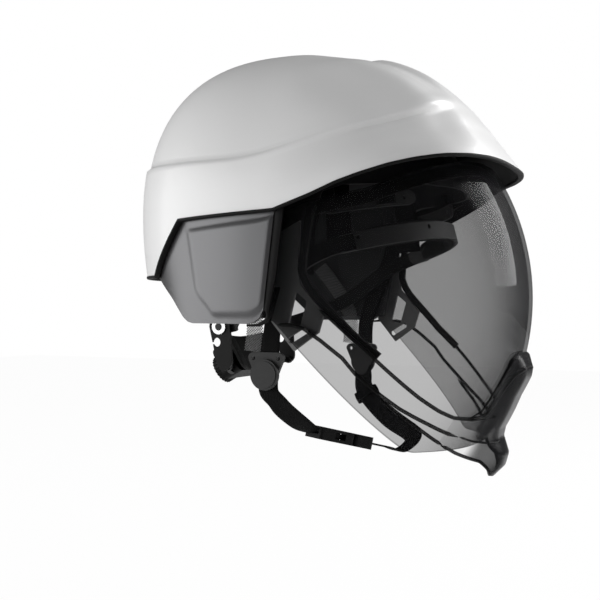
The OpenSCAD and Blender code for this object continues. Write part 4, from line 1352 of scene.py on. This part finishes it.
@dataclass
class Headgear:
    """Pads and crown straps of the headgear."""

    head_r: float = 80
    brow_at: Side = (-40, 28)
    brow_tilt: float = 14
    brow_lift: float = 1
    pad_thick: float = 5
    brow_height: float = 15
    brow_gap: float = 0.3
    brow_span: float = 62
    brow_cells: int = 9
    nape_at: Side = (53, -47)
    nape_tilt: float = 30
    nape_r: float = 80
    nape_inset: float = 11.6
    nape_height: float = 30
    nape_span: float = 28
    nape_cells: int = 4
    strap_top: float = 138
    strap_w: float = 18
    front_ends: tuple[float, float, float, float] = (71.5, -64, 38, -34)
    rear_ends: tuple[float, float, float, float] = (76.6, 34, 22, 10)
    rear_turn: float = 0.005

    def strap_path(self, x: float, y0: float, z0: float, y1: float) -> list[Point]:
        """Stations of a crown strap from ear to ear.

        Args:
            x: Distance of its ends from the middle.
            y0: Place of its ends along Y.
            z0: Height of its ends.
            y1: Place of its top along Y.

        Returns:
            The stations in millimetres.
        """
        half = [(x, y0, z0), (0.93 * x, mix(y0, y1, 0.15), mix(z0, self.strap_top, 0.42)),
                (0.62 * x, mix(y0, y1, 0.6), mix(z0, self.strap_top, 0.82))]
        return [(-a, b, c) for a, b, c in half] + [(0, y1, self.strap_top)] + half[::-1]

    @staticmethod
    def pad(name: str, r0: float, thick: float, height: float, span: float, cells: int,
            spot: Callable[[float, float, float], Point]) -> Thing:
        """Crowned pad with sewn channels along an arc.

        Args:
            name: Name of the piece.
            r0: Inner radius.
            thick: Thickness at the crowns.
            height: Height of the pad.
            span: Angle to each side.
            cells: Number of stuffed cells.
            spot: Function that turns an angle, radius and height into a point of the helmet.

        Returns:
            The pad.
        """
        cols, rows = 20, cells * 12
        rings: Grid = []
        for k in range(rows + 1):
            a = mix(-span, span, k / rows)
            cell = abs(math.sin(math.pi * cells * k / rows)) ** 0.5
            end = min(1.0, math.sqrt(max(0.0, 1 - (2 * k / rows - 1) ** 8)))
            ring = []
            for i in range(cols):
                t = 2 * math.pi * i / cols
                ct, st = math.cos(t), math.sin(t)
                full = thick / 2 * end * (mix(0.62, 1, cell) if ct < 0 else 1)
                out = math.copysign(abs(ct) ** 0.7, ct) * full
                up = math.copysign(abs(st) ** 0.6, st) * height / 2 * mix(0.6, 1, end)
                ring.append(spot(a, r0 + thick / 2 + out, up))
            rings.append(ring)
        return Mesh.loft(name, rings, 60)

    @staticmethod
    def tilted(x: float, y: float, z: float, tilt: float, middle: Side) -> Point:
        """Point of a ring that is tilted about its middle."""
        c, s = math.cos(math.radians(tilt)), math.sin(math.radians(tilt))
        return x, middle[0] + y * c + z * s, middle[1] - y * s + z * c

    def brow_place(self, a: float, r: float, up: float) -> Point:
        """Point of the brow pad.

        Args:
            a: Angle from the front in degrees.
            r: Radius in millimetres.
            up: Height over the pad's middle line.

        Returns:
            The point in millimetres.
        """
        t = math.radians(a)
        lift = up + self.brow_lift
        return self.tilted(-r * math.sin(t), -r * math.cos(t), lift, self.brow_tilt, self.brow_at)

    def nape_place(self, a: float, r: float, up: float) -> Point:
        """Point of the nape pad.

        Args:
            a: Angle from the rear in degrees.
            r: Radius in millimetres.
            up: Height over the pad's middle line.

        Returns:
            The point in millimetres.
        """
        t = math.radians(a)
        middle = self.tilted(0, -self.nape_r, 0, self.nape_tilt, self.nape_at)[1:]
        return self.tilted(-r * math.sin(t), r * math.cos(t), up, self.nape_tilt, middle)

    def build(self) -> None:
        """Builds and dresses the pads and crown straps."""
        pad = self.pad("brow_cushion", self.head_r - self.pad_thick - self.brow_gap, self.pad_thick,
                       self.brow_height, self.brow_span, self.brow_cells, self.brow_place)
        dress(pad, Body.ROOT, PAD_CLOTH, "pad_fabric", "brow_pad")
        pad = self.pad("nape_cushion", self.nape_r - self.nape_inset, self.pad_thick, self.nape_height,
                       self.nape_span, self.nape_cells, self.nape_place)
        dress(pad, Body.NAPE, PAD_CLOTH, "pad_fabric", "nape_pad")
        for part, ends, turn in (("front", self.front_ends, 0), ("rear", self.rear_ends, self.rear_turn)):
            path = self.strap_path(*ends)
            strap = Strap(f"crown_web_{part}", path, [(-p[0] * turn, 1, 0) for p in path], self.strap_w)
            dress(strap.mesh(), Body.ROOT, WEB_BLACK, "webbing_black", f"crown_strap_{part}")


@dataclass
class CarriedNodes:
    """CAD nodes that stay as they are and get their finish."""

    finishes: tuple[tuple[Finish, str], ...] = (
        (CAP_DARK, "inner_cap cap_spacers"), (RUBBER_BLACK, "face_seal visor_top_band"),
        (ARM_DARK, "visor_arm_right visor_arm_left pivot_pin_right pivot_pin_left"),
        (STEEL, "pivot_washer_right pivot_washer_left"), (ARM_DARK, "pivot_bushes"),
        (NYLON_SPECKLED, "brow_band head_rail_right head_rail_left"),
        (NYLON_BLACK, "head_strip_right head_strip_left head_clips"), (HANGER_STEEL, "hanger_washers"),
        (NYLON_BLACK, "nape_hanger_right nape_hanger_left nape_housing nape_cover rack_right rack_left"),
        (WHEEL_PALE, "pinion"), (NYLON_BLACK, "knob"),
        (DIVIDER_DARK, "divider_right divider_left divider_caps"),
        (NYLON_BLACK, "buckle_socket buckle_prong strap_slider"))

    def build(self, nodes: dict[str, Thing]) -> None:
        """Assigns each node its finish.

        Args:
            nodes: Objects of the nodes by name.
        """
        for finish, names in self.finishes:
            for name in names.split():
                thing = nodes[name]
                if not thing.material_slots:
                    thing.data.materials.append(None)
                for slot in thing.material_slots:
                    slot.link = "OBJECT"
                    slot.material = finish.material()
                LOG.info("node %s in %s", name, finish.label)


@dataclass
class Studio:
    """Camera at the photograph's angle, pale floor and soft light."""

    eye: Point = (-0.6293, -0.3066, -0.007)
    look: Point = (0.899, 0.438, 0.0)
    lens: float = 54.6
    shift: float = 0.0133
    floor_z: float = -0.25
    floor_size: float = 6.0
    floor_glow: float = 0.97
    sky: float = 0.33
    gloss: float = 0.1

    def camera(self) -> None:
        """Sets up the camera."""
        data = bpy.data.cameras.new("camera")
        data.lens = self.lens
        data.shift_y = self.shift
        data.clip_start = 0.01
        cam = place("camera", data)
        cam.location = self.eye
        cam.rotation_euler = Vector(self.look).to_track_quat("-Z", "Y").to_euler()
        bpy.context.scene.camera = cam

    def floor(self) -> None:
        """Pale floor that stays white to the camera and keeps a faint shadow."""
        n, size = 8, self.floor_size
        cells = [(j, i) for j in range(n + 1) for i in range(n + 1)]
        points = [(size * (i / n - 0.5), size * (j / n - 0.5), self.floor_z) for j, i in cells]
        mesh = bpy.data.meshes.new("studio_floor")
        mesh.from_pydata(points, [], Mesh.sheet_faces(n + 1, n + 1))
        thing = place("studio_floor", mesh)
        made = bpy.data.materials.new("floor_white")
        made.use_nodes = True
        tree = made.node_tree
        shader = tree.nodes["Principled BSDF"]
        shader.inputs["Base Color"].default_value = (0.85, 0.85, 0.85, 1)
        shader.inputs["Roughness"].default_value = 0.9
        amount = calc(tree, "MULTIPLY", add(tree, "LightPath").outputs["Is Camera Ray"], self.floor_glow)
        glow = add(tree, "Emission").outputs[0]
        mixed = add(tree, "MixShader", {0: amount, 1: shader.outputs[0], 2: glow})
        tree.links.new(mixed.outputs[0], tree.nodes["Material Output"].inputs["Surface"])
        thing.data.materials.append(made)

    def world(self) -> None:
        """World that is white to the camera and through clear pieces, and dimmer to gloss and the object."""
        world = bpy.data.worlds.new("studio")
        bpy.context.scene.world = world
        world.use_nodes = True
        tree = world.node_tree
        back = tree.nodes["Background"]
        back.inputs["Color"].default_value = (1, 1, 1, 1)
        ray = add(tree, "LightPath").outputs
        seen = calc(tree, "MAXIMUM", ray["Is Camera Ray"], ray["Is Transmission Ray"])
        dim = add(tree, "MapRange", {"Value": ray["Is Glossy Ray"], "To Min": self.sky, "To Max": self.gloss})
        level = add(tree, "MapRange", {"Value": seen, "To Min": dim.outputs[0], "To Max": 1.0})
        tree.links.new(level.outputs[0], back.inputs["Strength"])

    @staticmethod
    def lamp(name: str, at: Point, aim: Point, size: Side, power: float) -> None:
        """Area lamp of a size in metres, at a place, aimed at a point.

        Args:
            name: Name of the lamp.
            at: Its place in metres.
            aim: Point that it shines at.
            size: Width and height in metres.
            power: Power in watts.
        """
        data = bpy.data.lights.new(name, "AREA")
        data.shape = "RECTANGLE"
        data.size, data.size_y = size
        data.energy = power
        thing = place(name, data)
        thing.location = at
        thing.rotation_euler = (Vector(aim) - Vector(at)).to_track_quat("-Z", "Y").to_euler()

    def build(self) -> None:
        """Builds the studio."""
        self.camera()
        self.floor()
        self.world()
        self.lamp("rear_softbox", (-0.74, 0.95, 0.06), (0, 0, 0.04), (1.3, 0.9), 11.5)
        self.lamp("front_softbox", (0.66, -0.91, 0.5), (0, 0, 0.04), (0.9, 0.9), 19)
        bpy.context.scene.view_settings.view_transform = "Standard"


def main() -> None:
    """Builds every sub-assembly and reports it."""
    logging.basicConfig(level=logging.INFO, format="%(message)s")
    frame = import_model()
    Studio().build()
    Shell().build()
    Visor().build()
    Headgear().build()
    Harness().build()
    CarriedNodes().build(frame["nodes"])


if __name__ == "__main__":
    main()
